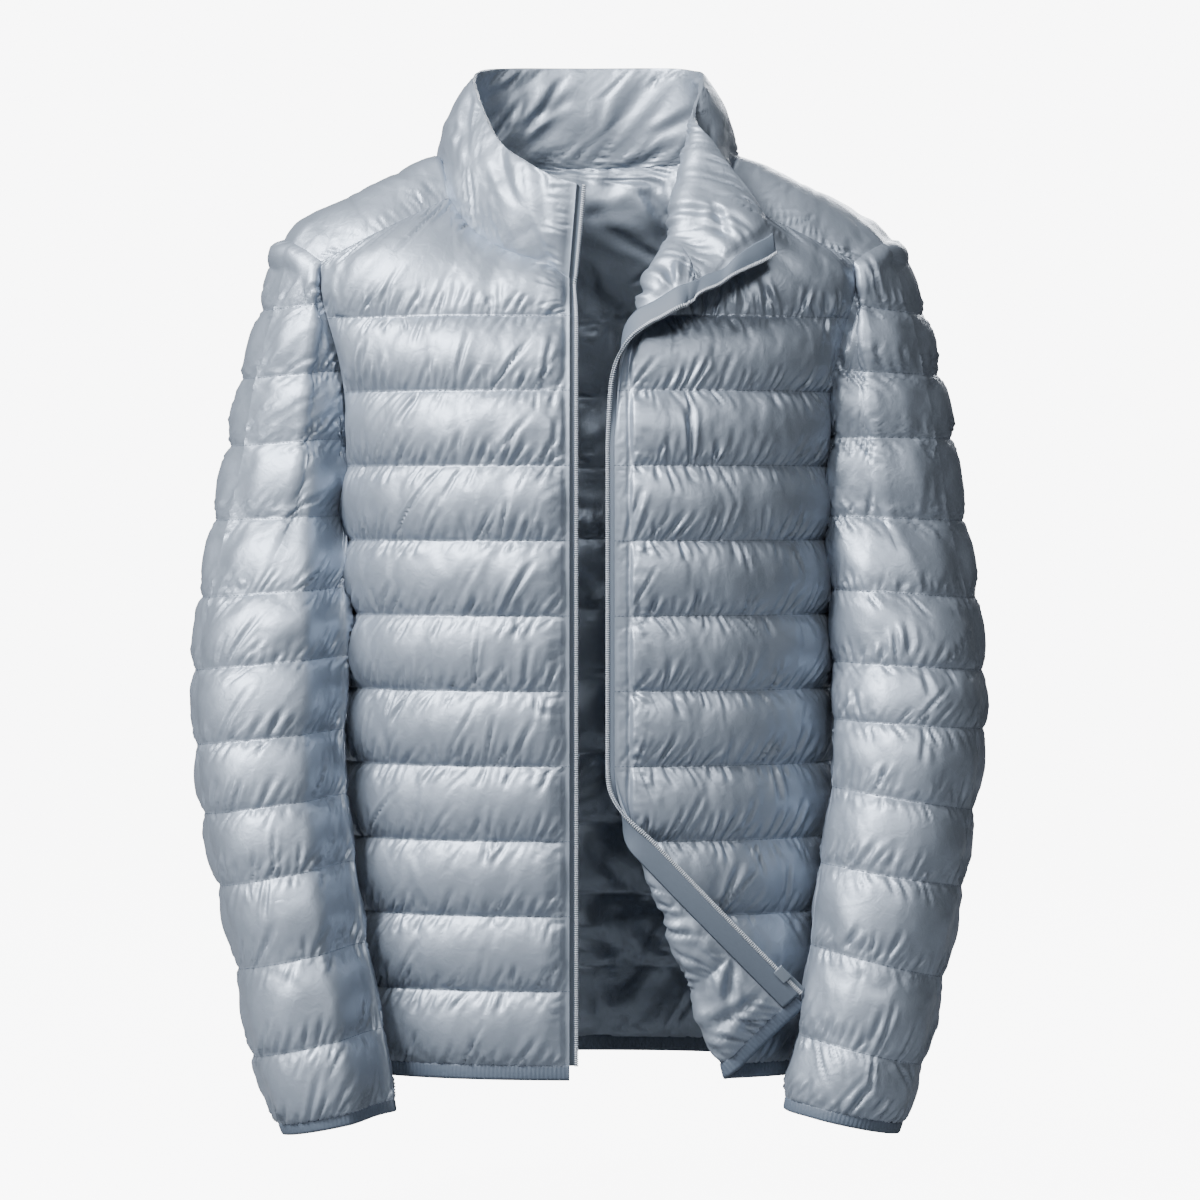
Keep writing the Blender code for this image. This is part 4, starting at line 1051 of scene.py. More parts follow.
def zip_band(panel, lift, seed):
    """Sews the zip's tape in: a flat band along the zip edge, a stitched groove and puckers across it."""
    random = np.random.default_rng(seed)
    along, down = surface_places(panel)
    width = BAND_WIDTH.get(panel.name)
    for column in panel.zip_columns:
        away = np.abs(along - along[column])
        lift = lift * lerp(BAND_SHARE, 1.0, smoothstep((away - width) / BAND_RISE))
        lift -= BAND_GROOVE * np.exp(-((away - width) / BAND_GROOVE_WIDTH) ** 2)
        for at in random_places(random, BAND_PUCKER, *BAND_GAPS, float(down.max())):
            reach = random.uniform(*BAND_OUTSIDE[1])
            off = down - at - random.normal(*BAND_TILT) * (away - width)
            crease, depth = random.uniform(*BAND_OUTSIDE[0]), random.uniform(*BAND_OUTSIDE[2])
            press_crease(lift, off, away - width + 1.0, crease, reach, depth)
            if width > BAND_WIDE:
                crease, depth = (random.uniform(*limits) for limits in BAND_INSIDE)
                press_crease(lift, off, width + 1.0 - away, crease, width, depth)
    return lift


def tape_folds(panel, seed):
    """Large folds of the loose lining that start from the stitching of the zip's tape."""
    random = np.random.default_rng(seed)
    along, down = surface_places(panel)
    away = np.abs(along - along[panel.zip_columns[0]]) - TAPE_INSIDE
    folds = np.zeros(panel.base.shape[:2])
    for at in random_places(random, FOLD_PITCH, *FOLD_GAPS, float(down.max())):
        off = down - at - random.normal(*FOLD_TILT) * away
        width, length, depth = (random.uniform(*limits) for limits in (FOLD_WIDTH, FOLD_LENGTH, FOLD_DEPTH))
        press_crease(folds, off, away, width, length, depth)
    return folds


def crinkle_field(panel, seed, depth):
    """Random straight creases in all directions, as on thin loose lining."""
    random = np.random.default_rng(seed)
    along, down = surface_places(panel)
    length, height = float(along.max()), float(down.max())
    field = np.zeros(panel.base.shape[:2])
    for _ in range(int(length * height / CRINKLE_AREA)):
        s0, d0 = random.uniform(0, length), random.uniform(0, height)
        angle = random.normal(*CRINKLE_ANGLE) * random.choice((-1, 1))
        run = random.uniform(*CRINKLE_LENGTH)
        width = run * random.uniform(*CRINKLE_WIDTH)
        columns = np.abs(along - s0).min(axis=1) < run
        rows = np.abs(down[0] - d0) < run
        if not columns.any() or not rows.any():
            continue
        window = np.ix_(columns, rows)
        ds, dd = along[window] - s0, down[window] - d0
        part = field[window]
        off = ds * math.sin(angle) - dd * math.cos(angle)
        on = ds * math.cos(angle) + dd * math.sin(angle)
        press_crease(part, off, on, width, run, depth * random.uniform(*CRINKLE_DEPTHS))
        field[window] = part
    return field


def edge_distance(panel, seams=True):
    """How far each point lies from the panel's edges, in millimetres, with or without a sleeve's seams."""
    along = travelled(panel.base)
    distance = np.minimum(along, along[-1:] - along)
    if panel.tube:
        down = travelled(panel.base, 1)
        distance = np.minimum(distance, np.abs(along - along[seam_column(len(along))]))
        distance = np.minimum(distance, down) if seams else down
    return distance


def panel_frame(panel):
    """Directions of a shaped panel at every point: along its rows, along its columns and outward."""
    normals = grid_normals(panel.shaped, panel.outward, panel.tube)
    across = unit(across_grid(panel.shaped, panel.tube))
    return across, np.cross(normals, across), normals


def channel_rise(panel, power, height):
    """A rounded rise between the stitched lines for every row."""
    return (np.abs(np.sin(math.pi * panel.lines)) ** power * height)[None, :]


def outer_surface(panel, seed):
    """Points of the outer sheet of a panel over its shaped base."""
    across, along, normals = panel_frame(panel)
    seams = edge_distance(panel)
    kept = SEAM_PUFF + (1 - SEAM_PUFF) * smoothstep(seams / EDGE_RISE)
    share = bpy.context.scene.jacket_quilting.cloth_share
    lift = lerp(channel_rise(panel, CHANNEL_POWER, panel.puff) * kept, panel.moved[..., 2], share)
    puckers = pucker_field(panel, seed)
    if panel.name == "collar":
        puckers = puckers * COLLAR_PUCKER + crinkle_field(panel, seed, COLLAR_CRINKLE)
    lift = zip_band(panel, lift + puckers, seed)
    edge = smoothstep(edge_distance(panel, False) / RIM_RISE["outer"])
    if panel.tube:
        edge *= lerp(SEAM_LIFT, 1.0, smoothstep(seams / RIM_RISE["seam"]))
    lift = np.maximum(lift * edge, LOWEST_LIFT) + HALF_WALL
    points = panel.shaped + normals * lift[..., None]
    points += across * (panel.moved[..., 0] * share)[..., None]
    points += along * (panel.moved[..., 1] * share)[..., None]
    return points


def inner_surface(panel, seed):
    """Points of the lining sheet, which bulges less and crinkles more."""
    seams = edge_distance(panel)
    lift = channel_rise(panel, LINING_POWER, LINING_PUFF) * smoothstep(seams / EDGE_RISE)
    lift += pucker_field(panel, seed)
    if not panel.tube:
        lift += crinkle_field(panel, seed, LINING_CRINKLE)
    if panel.name == "left_front":
        lift += tape_folds(panel, seed)
    lift *= smoothstep(seams / RIM_RISE["lining"])
    along = travelled(panel.base)
    for column in panel.zip_columns:
        away = np.abs(along - along[column])
        lift *= smoothstep((away - TAPE_CLEAR * TAPE_INSIDE) / TAPE_INSIDE)
    depth = HALF_WALL + np.clip(lift, LOWEST_LIFT, LINING_LIMIT)
    return panel.shaped - panel_frame(panel)[2] * depth[..., None]


def walled_mesh(name, outer, inner, valid, outward):
    """One closed mesh from an outer and an inner sheet, joined by a rim along the open edges."""
    faces = panel_faces(valid, outward)
    count = valid.size
    back = [[v + count for v in face[::-1]] for face in faces]
    directed = {edge for face in faces for edge in zip(face, face[1:] + face[:1])}
    border = np.array(sorted((a, b) for a, b in directed if (b, a) not in directed))
    rim = np.stack((border[:, 1], border[:, 0], border[:, 0] + count, border[:, 1] + count), 1).tolist()
    points = np.concatenate((outer.reshape(-1, 3), inner.reshape(-1, 3)))
    obj = make_object(name, points, faces + back + rim)
    # The border edges are marked sharp, so that the smooth shading doesn't run on over the rim.
    used = np.zeros(2 * count, bool)
    used[[v for face in faces + back for v in face]] = True
    ids = np.cumsum(used) - 1
    total = int(used.sum())
    sharp = np.sort(ids[np.concatenate((border, border + count))], axis=1)
    edges = np.empty(2 * len(obj.data.edges), np.int32)
    obj.data.edges.foreach_get("vertices", edges)
    edges = np.sort(edges.reshape(-1, 2), axis=1)
    obj.data.edges.foreach_set("use_edge_sharp", np.isin(edges @ (total, 1), sharp @ (total, 1)))
    return obj


# ---- ribbons: bindings, tapes and what lies along an edge ------------------------------------------------
def edge_frames(points, inner, normals):
    """For each point of an edge: the point, the way out of the panel and the outward normal."""
    out = points - inner
    out = out - normals * np.sum(out * normals, -1, keepdims=True)
    return points, unit(out), normals


def resample(frames, pitch):
    """The same frames at even steps along the edge."""
    along = travelled(frames[0])
    count = max(2, int(along[-1] / pitch))
    wanted = np.linspace(0, along[-1], count + 1)
    picked = [np.stack([np.interp(wanted, along, part[:, axis]) for axis in range(3)], 1) for part in frames]
    return picked[0], unit(picked[1]), unit(picked[2])


def ribbon(name, frames, profile, heights=1.0):
    """A long mesh along frames; profile is a closed loop of (out, height) round its section."""
    points, out, normals = frames
    profile = np.array(profile, float)
    scale = np.ones(len(points)) * heights
    loops = points[:, None] + out[:, None] * profile[None, :, :1]
    loops = loops + normals[:, None] * (profile[None, :, 1:] * scale[:, None, None])
    count, around = loops.shape[:2]
    ids = np.arange(count * around).reshape(count, around)
    ahead = np.roll(ids, -1, axis=1)
    faces = np.stack((ids[:-1], ids[1:], ahead[1:], ahead[:-1]), -1).reshape(-1, 4).tolist()
    faces += [ids[0].tolist(), ids[-1][::-1].tolist()]
    obj = make_object(name, loops, faces)
    edit_mesh(obj, bpy.ops.mesh.normals_make_consistent, inside=False)
    return obj


def oval(start, end, half, points=10, centre=0.0):
    """A rounded flat section from start to end, with this half thickness."""
    angles = np.arange(points) * 2 * math.pi / points
    cosine, sine = np.cos(angles), np.sin(angles)
    across = (start + end) / 2 + (end - start) / 2 * np.sign(cosine) * np.abs(cosine) ** 0.5
    return np.stack((across, centre + half * (np.sign(sine) * np.abs(sine) ** 0.6)), 1)


BOX_FACES = ((0, 1, 3, 2), (4, 6, 7, 5), (0, 4, 5, 1), (2, 3, 7, 6), (0, 2, 6, 4), (1, 5, 7, 3))
BOX_TAPER = 0.7


def repeated(name, frames, size, height, offset=0.0):
    """One mesh with a small block, narrower at its top, at every frame; size is along, out, up."""
    points, out, normals = frames
    along = unit(np.cross(normals, out))
    corners = np.array([(a, b, c) for c in (-1, 1) for b in (-1, 1) for a in (-1, 1)])
    block = corners * np.array(size) / 2
    block[4:, :2] *= BOX_TAPER
    shape = points[:, None] + out[:, None] * (block[None, :, 1:2] + offset)
    shape = shape + along[:, None] * block[None, :, :1] + normals[:, None] * (block[None, :, 2:] + height)
    faces = np.array(BOX_FACES)[None] + np.arange(len(points))[:, None, None] * len(block)
    return make_object(name, shape, faces.reshape(-1, 4).tolist())


# ---- materials ------------------------------------------------------------------------------------------
def linear(hex_colour):
    """A colour written as sRGB hex, as linear red, green, blue and full alpha."""
    parts = [int(hex_colour[i:i + 2], 16) / 255 for i in (1, 3, 5)]
    return [p / 12.92 if p <= 0.04045 else ((p + 0.055) / 1.055) ** 2.4 for p in parts] + [1.0]


def add_node(tree, kind, values=None, **settings):
    """A node with its settings and unlinked values; a value that is a socket is linked."""
    node = tree.nodes.new(kind)
    for key, value in settings.items():
        setattr(node, key, value)
    for key, value in (values or {}).items():
        if isinstance(value, bpy.types.NodeSocket):
            tree.links.new(value, node.inputs[key])
        else:
            node.inputs[key].default_value = value
    return node


def new_material(name, colour, roughness, values):
    """A Principled material, its tree and its shader; values go to further sockets of the shader."""
    material = bpy.data.materials.new(name)
    material.use_nodes = True
    shader = material.node_tree.nodes["Principled BSDF"]
    shader.inputs["Base Color"].default_value = linear(colour)
    shader.inputs["Roughness"].default_value = roughness
    for key, value in values.items():
        shader.inputs[key].default_value = value
    return material, material.node_tree, shader


# Every material: its name, its roughness, further values of the shader's sockets, and for cloth the weave:
# thread pitch, thread depth, crinkle depth and crinkle size, in metres.
MATERIAL_TABLE = {
    # Down-proof nylon with a soft calendered sheen.
    "shell": ("glossy_nylon", None, {"Specular IOR Level": 0.6, "Metallic": 0.62},
              (0.00035, 0.00002, 0.0004, 0.009)),
    # Knitted elastic with a dull sheen.
    "binding": ("binding_elastic", 0.6, {}, (0.0009, 0.0001, 0.0002, 0.004)),
    # Woven polyester.
    "tape": ("zip_tape_weave", 0.65, {}, (0.0006, 0.00008, 0.0001, 0.003)),
    # Moulded polyester coil.
    "teeth": ("zip_coil", 0.35, {}, None),
    # Polyester thread, slightly darker than the shell.
    "thread": ("sewing_thread", 0.6, {}, None),
    # Painted zinc.
    "metal": ("painted_zinc", 0.35, {"Metallic": 0.6}, None),
}
WAVE_BANDS = 20            # the wave texture's own factor: radians over one unit at scale 1


def add_weave(tree, shader, pitch, depth, crinkle, crinkle_size):
    """Relief of cloth: a plain weave at its thread pitch over soft crinkles of a given size."""
    place = add_node(tree, "ShaderNodeTexCoord").outputs["Object"]
    threads = {"Vector": place, "Scale": 1.0 / pitch / WAVE_BANDS * 2 * math.pi}
    bumps = [add_node(tree, "ShaderNodeTexWave", threads, wave_type="BANDS", bands_direction=direction)
             for direction in ("X", "Z")]
    both = {i: bump.outputs["Fac"] for i, bump in enumerate(bumps)}
    weave = add_node(tree, "ShaderNodeMath", both, operation="MAXIMUM").outputs[0]
    noise = {"Vector": place, "Scale": 1 / crinkle_size, "Detail": 3.0, "Roughness": 0.55, "Distortion": 0.6}
    noise = add_node(tree, "ShaderNodeTexNoise", noise).outputs["Fac"]
    soft = add_node(tree, "ShaderNodeBump", {"Height": noise, "Distance": crinkle, "Strength": 1.0})
    fine = {"Height": weave, "Distance": depth, "Strength": 0.5, "Normal": soft.outputs["Normal"]}
    fine = add_node(tree, "ShaderNodeBump", fine)
    tree.links.new(fine.outputs["Normal"], shader.inputs["Normal"])


MATERIALS = {}


def material_for(kind):
    """Each material once, made when it is first asked for."""
    if kind not in MATERIALS:
        colours = bpy.context.scene.jacket_colours
        name, roughness, values, weave = MATERIAL_TABLE[kind]
        gloss = colours.shell_gloss if roughness is None else roughness
        material, tree, shader = new_material(name, getattr(colours, kind), gloss, values)
        if weave:
            add_weave(tree, shader, *weave)
        MATERIALS[kind] = material
    return MATERIALS[kind]


def dress(obj, kind, nodes=(), body="jacket"):
    """Gives a piece its material and its body, and hides the solids that it stands for."""
    obj.data.materials.clear()
    obj.data.materials.append(material_for(kind))
    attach(obj, body)
    if nodes:
        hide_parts(*nodes)
    return obj


# ---- shared forms ---------------------------------------------------------------------------------------
STATE = {}
COLLAR_COLUMNS = sum(FRONT_NECK_COLUMNS.values()) + 2 * BACK_NECK_COLUMNS
SEEDS = {"outer": 30, "inner": 60}


def collar_places(right, left, back):
    """Column numbers of the fine collar grid, in whole columns from its right end."""
    tail = fine_columns(BACK_NECK_COLUMNS, back)[1:]
    halves = []
    for count, step in zip(FRONT_NECK_COLUMNS.values(), (right, left)):
        halves.append(fine_columns(count, step) + [count + c for c in tail])
    return halves[0] + [COLLAR_COLUMNS - c for c in halves[1][-2::-1]]


def tuck_inner_side(panel):
    """Slopes a sleeve's front away beside its inner edge and rests that edge on the body."""
    side = panel.outward
    edge = (side * panel.shaped[:, :, 0]).argmax(axis=0)
    places = panel.shaped[edge, np.arange(len(edge))]
    spread = np.hanning(TUCK_ROWS)
    padded = np.pad(places, ((TUCK_ROWS // 2, TUCK_ROWS // 2), (0, 0)), mode="edge")
    x, y = (np.convolve(padded[:, axis], spread / spread.sum(), mode="valid") for axis in (0, 1))
    away = side * (x - panel.shaped[:, :, 0])
    depth = panel.shaped[:, :, 1] - y
    kept = lerp(TUCK_SHARE[panel.name], 1.0, smoothstep(away / TUCK_WIDTH))
    panel.shaped[:, :, 1] += np.where(depth < 0, depth * (kept - 1.0), 0.0)
    panel.shaped[:, :, 0] += side * SLEEVE_LAP * (1.0 - smoothstep(away / SLEEVE_LAP_WIDTH))


def prepare_forms():
    """Builds the panels, runs the cloth and folds the turned-out edges."""
    forms = build_forms()
    run_cloth(forms["coarse"])
    panels = forms["fine"]
    for name, panel in panels.items():
        panel.moved = double(double(forms["coarse"][name].moved, 0), 1)
    left = panels["left_front"]
    edge = left.base[0]
    neck = FRONT_NECK_COLUMNS["left"]
    left.shaped = fold_left(left.base, fold_weights(left.places, neck, 0), edge)
    collar = panels["collar"]
    weights = fold_weights(collar.places, COLLAR_COLUMNS - neck, COLLAR_COLUMNS)
    weights = [None if c < collar.centre else w for c, w in enumerate(weights)]
    collar.shaped = fold_left(collar.base, weights, collar.base[-1])
    for side in SIGN:
        tuck_inner_side(panels[side + "_sleeve"])
    STATE["panels"] = panels
    for sheet, surface in (("outer", outer_surface), ("inner", inner_surface)):
        seeds = range(SEEDS[sheet], SEEDS[sheet] + len(panels))
        STATE[sheet] = {name: surface(panels[name], seed) for name, seed in zip(panels, seeds)}


def add_panel(name, nodes, columns=slice(None), piece=None):
    """A quilted panel as one closed mesh."""
    panel = STATE["panels"][name]
    outer = STATE["outer"][name][columns]
    inner = STATE["inner"][name][columns]
    obj = walled_mesh(piece or name + "_quilted", outer, inner, panel.valid[columns], panel.outward)
    dress(obj, "shell", nodes)


def hem_edge(name):
    """Frames along the lower edge of a panel."""
    panel = STATE["panels"][name]
    normals = grid_normals(panel.shaped, panel.outward, panel.tube)
    row, inner = (-1, -2) if panel.tube else (0, 1)
    return edge_frames(panel.shaped[:, row], panel.shaped[:, inner], normals[:, row])


def zip_edge(side):
    """Frames along a front's zip edge and on up the collar's end."""
    parts = []
    for name in (side + "_front", "collar"):
        panel = STATE["panels"][name]
        column, inner = (-1, -2) if name == "collar" and side == "left" else (0, 1)
        normals = grid_normals(panel.shaped, panel.outward)
        parts.append(edge_frames(panel.shaped[column], panel.shaped[inner], normals[column]))
    frames = [np.concatenate((a, b[1:])) for a, b in zip(*parts)]
    spread = np.ones(EDGE_SPREAD) / EDGE_SPREAD
    half = EDGE_SPREAD // 2
    for whole in frames:
        for axis in range(3):
            whole[half:-half, axis] = np.convolve(whole[:, axis], spread, mode="valid")
    return frames


# ---- properties -----------------------------------------------------------------------------------------
class JacketQuilting(bpy.types.PropertyGroup):
    rows_per_channel: bpy.props.IntProperty(
        name="Rows per channel", description="Mesh rows of the cloth run in one channel", default=12, min=6)
    pressure: bpy.props.FloatProperty(
        name="Filling pressure", description="Pressure of the filling in the cloth run", default=14.0)
    fullness: bpy.props.FloatProperty(
        name="Fullness", description="How much larger the cloth is cut than its base",
        default=0.1, subtype="FACTOR", min=0.0, max=0.3)
    stiffness: bpy.props.FloatProperty(
        name="Cloth stiffness", description="Stiffness of the cloth along its threads", default=15.0)
    bending: bpy.props.FloatProperty(
        name="Bending stiffness", description="Stiffness of the cloth against folding", default=0.05)
    cloth_share: bpy.props.FloatProperty(
        name="Cloth share", description="How much of the rise comes from the cloth run",
        default=0.3, subtype="FACTOR", min=0.0, max=1.0)
    streak_depth: bpy.props.FloatProperty(
        name="Streak depth", description="Depth of the long slanted creases, in millimetres", default=1.2)
    pucker_depth: bpy.props.FloatProperty(
        name="Pucker depth", description="Depth of the creases beside the stitched lines, in millimetres",
        default=3.0)
    pucker_spacing: bpy.props.FloatProperty(
        name="Pucker spacing", description="Distance between creases, in millimetres", default=5.8)


class JacketColours(bpy.types.PropertyGroup):
    shell: bpy.props.StringProperty(
        name="Shell", description="Colour of the nylon, as sRGB hex", default="#8A94A2")
    shell_gloss: bpy.props.FloatProperty(
        name="Shell roughness", description="Roughness of the nylon", default=0.47, subtype="FACTOR")
    binding: bpy.props.StringProperty(
        name="Binding", description="Colour of the elastic bindings, as sRGB hex", default="#4A5564")
    tape: bpy.props.StringProperty(
        name="Zip tape", description="Colour of the zip tape, as sRGB hex", default="#515B68")
    teeth: bpy.props.StringProperty(
        name="Zip teeth", description="Colour of the zip's teeth, as sRGB hex", default="#B4BBC5")
    thread: bpy.props.StringProperty(
        name="Thread", description="Colour of the sewing thread, as sRGB hex", default="#5A6472")
    metal: bpy.props.StringProperty(
        name="Slider", description="Colour of the zip slider, as sRGB hex", default="#7E8894")


class JacketStage(bpy.types.PropertyGroup):
    distance: bpy.props.FloatProperty(
        name="Camera distance", description="Camera's distance in front of the jacket",
        default=4.63, unit="LENGTH")
    height: bpy.props.FloatProperty(
        name="Camera height", description="Camera's height over the neck's base",
        default=-0.2523, unit="LENGTH")
    lens: bpy.props.FloatProperty(
        name="Focal length", description="Focal length, in millimetres", default=179.3)
    floor: bpy.props.FloatProperty(
        name="Floor height", description="Height of the floor", default=-0.79, unit="LENGTH")
    strength: bpy.props.FloatProperty(name="Light", description="Strength of all lamps", default=1.0)


# ---- operators ------------------------------------------------------------------------------------------
class JACKET_OT_forms(bpy.types.Operator):
    """Work out all panel surfaces, fill them by a cloth run and fold the turned-out edges"""
    bl_idname = "jacket.forms"
    bl_label = "Shape the panels"

    def execute(self, context):
        prepare_forms()
        return {"FINISHED"}


class JACKET_OT_body(bpy.types.Operator):
    """Build the two fronts and the back"""
    bl_idname = "jacket.body"
    bl_label = "Fronts and back"

    def execute(self, context):
        for name in ("right_front", "left_front", "back"):
            add_panel(name, [name])
        return {"FINISHED"}


class JACKET_OT_collar(bpy.types.Operator):
    """Build the stand collar"""
    bl_idname = "jacket.collar"
    bl_label = "Collar"

    def execute(self, context):
        add_panel("collar", ["collar"])
        return {"FINISHED"}


class JACKET_OT_sleeves(bpy.types.Operator):
    """Build both sleeves, each from a front and a back piece"""
    bl_idname = "jacket.sleeves"
    bl_label = "Sleeves"

    def execute(self, context):
        for side in SIGN:
            name = side + "_sleeve"
            seam = seam_column(len(STATE["panels"][name].base))
            add_panel(name, [name + "_front"], slice(0, seam + 1), name + "_front_quilted")
            add_panel(name, [name + "_back"], slice(seam, None), name + "_back_quilted")
        return {"FINISHED"}


class JACKET_OT_bindings(bpy.types.Operator):
    """Build the elastic bindings of hem and cuffs"""
    bl_idname = "jacket.bindings"
    bl_label = "Bindings"

    def execute(self, context):
        places = (("hem_binding_right", "right_front"), ("hem_binding_back", "back"),
                  ("hem_binding_left", "left_front"),
                  ("cuff_binding_right", "right_sleeve"), ("cuff_binding_left", "left_sleeve"))
        for name, panel in places:
            width = HEM_BINDING if name.startswith("hem") else CUFF_BINDING
            frames = resample(hem_edge(panel), BINDING_STEP)
            ribs = 1.0 + BINDING_RIB * np.sin(np.arange(len(frames[0])) * math.pi / 2)
            obj = ribbon(name + "_elastic", frames, oval(-BINDING_LAP, width, BINDING_HALF), ribs)
            dress(obj, "binding", [name])
        return {"FINISHED"}


class JACKET_OT_zip(bpy.types.Operator):
    """Build the zip's tapes and the coils of teeth on both faces of them"""
    bl_idname = "jacket.zip"
    bl_label = "Zip"

    def execute(self, context):
        for side in SIGN:
            frames = resample(zip_edge(side), TAPE_STEP)
            section = oval(-TAPE_INSIDE, TAPE_SHOWS, TAPE_HALF, 8, -TAPE_DEPTH)
            tape = ribbon("zip_tape_" + side + "_woven", frames, section)
            dress(tape, "tape", ["zip_tape_" + side])
            fine = resample(zip_edge(side), TOOTH_PITCH)
            for face, sign in (("outer", 1), ("inner", -1)):
                height = -TAPE_DEPTH + sign * (TAPE_HALF + TOOTH_RISE)
                teeth = repeated("zip_coil_%s_%s" % (side, face), fine, TOOTH_SIZE, height,
                                 TAPE_SHOWS - TOOTH_INSET)
                dress(teeth, "teeth")
        return {"FINISHED"}


class JACKET_OT_slider(bpy.types.Operator):
    """Round off the slider and its pull tab"""
    bl_idname = "jacket.slider"
    bl_label = "Slider and pull"

    def execute(self, context):
        for node, body in (("zip_slider", "jacket"), ("zip_pull", "pull")):
            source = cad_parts[node]
            obj = source.copy()
            obj.data = source.data.copy()
            obj.name = node + "_rounded"
            obj.parent = None
            obj.matrix_world = source.matrix_world
            bpy.context.scene.collection.objects.link(obj)
            edit_mesh(obj, bpy.ops.mesh.remove_doubles, threshold=1e-6)
            bpy.ops.object.transform_apply(location=True, rotation=True, scale=True)
            bpy.ops.object.modifier_add(type="BEVEL")
            bevel = obj.modifiers[-1]
            bevel.width = SLIDER_ROUND * MM
            bevel.segments = 3
            bevel.limit_method = "ANGLE"
            bpy.ops.object.modifier_apply(modifier=bevel.name)
            bpy.ops.object.shade_smooth_by_angle(angle=math.radians(SMOOTH_ANGLE))
            dress(obj, "metal", [node], body=body)
        return {"FINISHED"}


class JACKET_OT_stitching(bpy.types.Operator):
    """Lay the stitches along every quilting line"""
    bl_idname = "jacket.stitching"
    bl_label = "Stitching"

    def execute(self, context):
        for name, panel in STATE["panels"].items():
            rows = np.flatnonzero(stitched_rows(panel))
            ends = (0, len(panel.lines) - 1) if name == "collar" or panel.tube else (0,)
            normals = grid_normals(panel.shaped, panel.outward, panel.tube)
            parts = []
            for row in (row for row in rows if row not in ends):
                good = panel.valid[:, row]
                points = STATE["outer"][name][good, row]
                if len(points) < 4:
                    continue
                inner = panel.shaped[good, row - 1]
                parts.append(resample(edge_frames(points, inner, normals[good, row]), STITCH_PITCH))
            if not parts:
                continue
            frames = [np.concatenate([part[i] for part in parts]) for i in range(3)]
            obj = repeated(name + "_stitches", frames, STITCH_SIZE, STITCH_RISE)
            dress(obj, "thread")
        return {"FINISHED"}


class JACKET_OT_stage(bpy.types.Operator):
    """Set up the floor, the lamps and the camera"""
    bl_idname = "jacket.stage"
    bl_label = "Stage"

    def execute(self, context):
        stage = context.scene.jacket_stage
        backdrop(stage.floor)
        for name, place, size, energy in LAMPS:
            data = bpy.data.lights.new(name, "AREA")
            data.shape = "RECTANGLE"
            data.size, data.size_y = size
            data.energy = energy * stage.strength
            data.color = linear(LAMP_COLOUR)[:3]
            lamp = bpy.data.objects.new(name, data)
            lamp.location = place
            lamp.rotation_euler = (Vector(LAMP_TARGET) - Vector(place)).to_track_quat("-Z", "Y").to_euler()
            context.scene.collection.objects.link(lamp)
        world = bpy.data.worlds.new("studio")
        world.use_nodes = True
        background = world.node_tree.nodes["Background"]
        background.inputs["Color"].default_value = linear(STUDIO_COLOUR)
        camera_glow(world.node_tree, background.inputs["Strength"], BACKDROP_GLOW, WORLD_STRENGTH)
        context.scene.world = world
        data = bpy.data.cameras.new("camera")
        data.lens = stage.lens
        data.sensor_width = SENSOR_WIDTH
        data.shift_x, data.shift_y = CAMERA_SHIFT
        data.clip_end = 50.0
        camera = bpy.data.objects.new("camera", data)
        camera.location = (0.0, -stage.distance, stage.height)
        camera.rotation_euler = (math.pi / 2, 0.0, 0.0)
        context.scene.collection.objects.link(camera)
        context.scene.camera = camera
        return {"FINISHED"}


def camera_glow(tree, target, strength, other=0.0):
    """Gives a strength to what the camera sees, and another to what lights the jacket."""
    seen = add_node(tree, "ShaderNodeLightPath").outputs["Is Camera Ray"]
    values = {0: seen, 1: strength - other, 2: other}
    glow = add_node(tree, "ShaderNodeMath", values, operation="MULTIPLY_ADD").outputs[0]
    tree.links.new(glow, target)


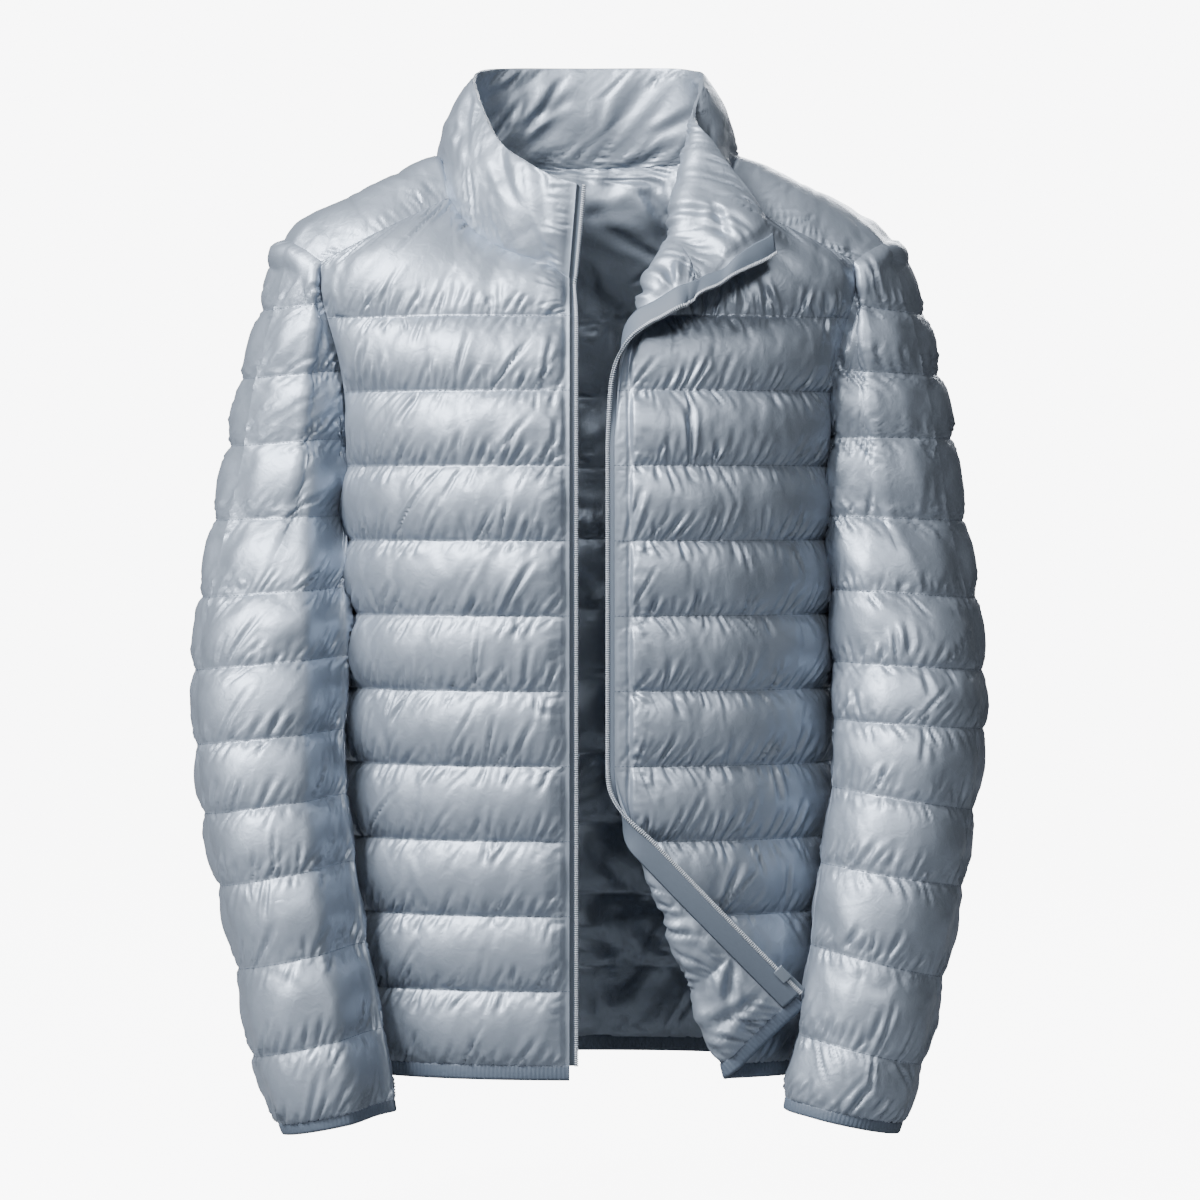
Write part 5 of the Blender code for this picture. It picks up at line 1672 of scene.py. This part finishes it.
def backdrop(height):
    """A flat pale floor, as bright to the camera as the studio around it."""
    points = [(x, y, height / MM) for y in (-FLOOR_HALF, FLOOR_HALF) for x in (-FLOOR_HALF, FLOOR_HALF)]
    obj = make_object("backdrop", points, [[0, 1, 3, 2]])
    glow = {"Emission Color": linear(STUDIO_COLOUR)}
    paper, tree, shader = new_material("backdrop_paper", PAPER_COLOUR, 0.9, glow)
    camera_glow(tree, shader.inputs["Emission Strength"], BACKDROP_GLOW)
    obj.data.materials.append(paper)
    return obj


class JACKET_PT_panel(bpy.types.Panel):
    bl_label = "Puffer jacket"
    bl_idname = "JACKET_PT_panel"
    bl_space_type = "VIEW_3D"
    bl_region_type = "UI"
    bl_category = "Jacket"

    def draw(self, context):
        for group in GROUPS:
            values = getattr(context.scene, group)
            for name in values.__annotations__:
                self.layout.prop(values, name)
        for operator in OPERATORS:
            self.layout.operator(operator.bl_idname)


GROUPS = {"jacket_quilting": JacketQuilting, "jacket_colours": JacketColours, "jacket_stage": JacketStage}
OPERATORS = (JACKET_OT_forms, JACKET_OT_body, JACKET_OT_collar, JACKET_OT_sleeves, JACKET_OT_bindings,
             JACKET_OT_zip, JACKET_OT_slider, JACKET_OT_stitching, JACKET_OT_stage)


def register():
    for group in GROUPS.values():
        bpy.utils.register_class(group)
    for operator in OPERATORS:
        bpy.utils.register_class(operator)
    bpy.utils.register_class(JACKET_PT_panel)
    for name, group in GROUPS.items():
        setattr(bpy.types.Scene, name, bpy.props.PointerProperty(type=group))


def unregister():
    for name in GROUPS:
        delattr(bpy.types.Scene, name)
    bpy.utils.unregister_class(JACKET_PT_panel)
    for operator in reversed(OPERATORS):
        bpy.utils.unregister_class(operator)
    for group in GROUPS.values():
        bpy.utils.unregister_class(group)


def main():
    register()
    bpy.ops.jacket.forms()
    bpy.ops.jacket.body()
    bpy.ops.jacket.collar()
    bpy.ops.jacket.sleeves()
    bpy.ops.jacket.bindings()
    bpy.ops.jacket.zip()
    bpy.ops.jacket.slider()
    bpy.ops.jacket.stitching()
    bpy.ops.jacket.stage()


if __name__ == "__main__":
    main()
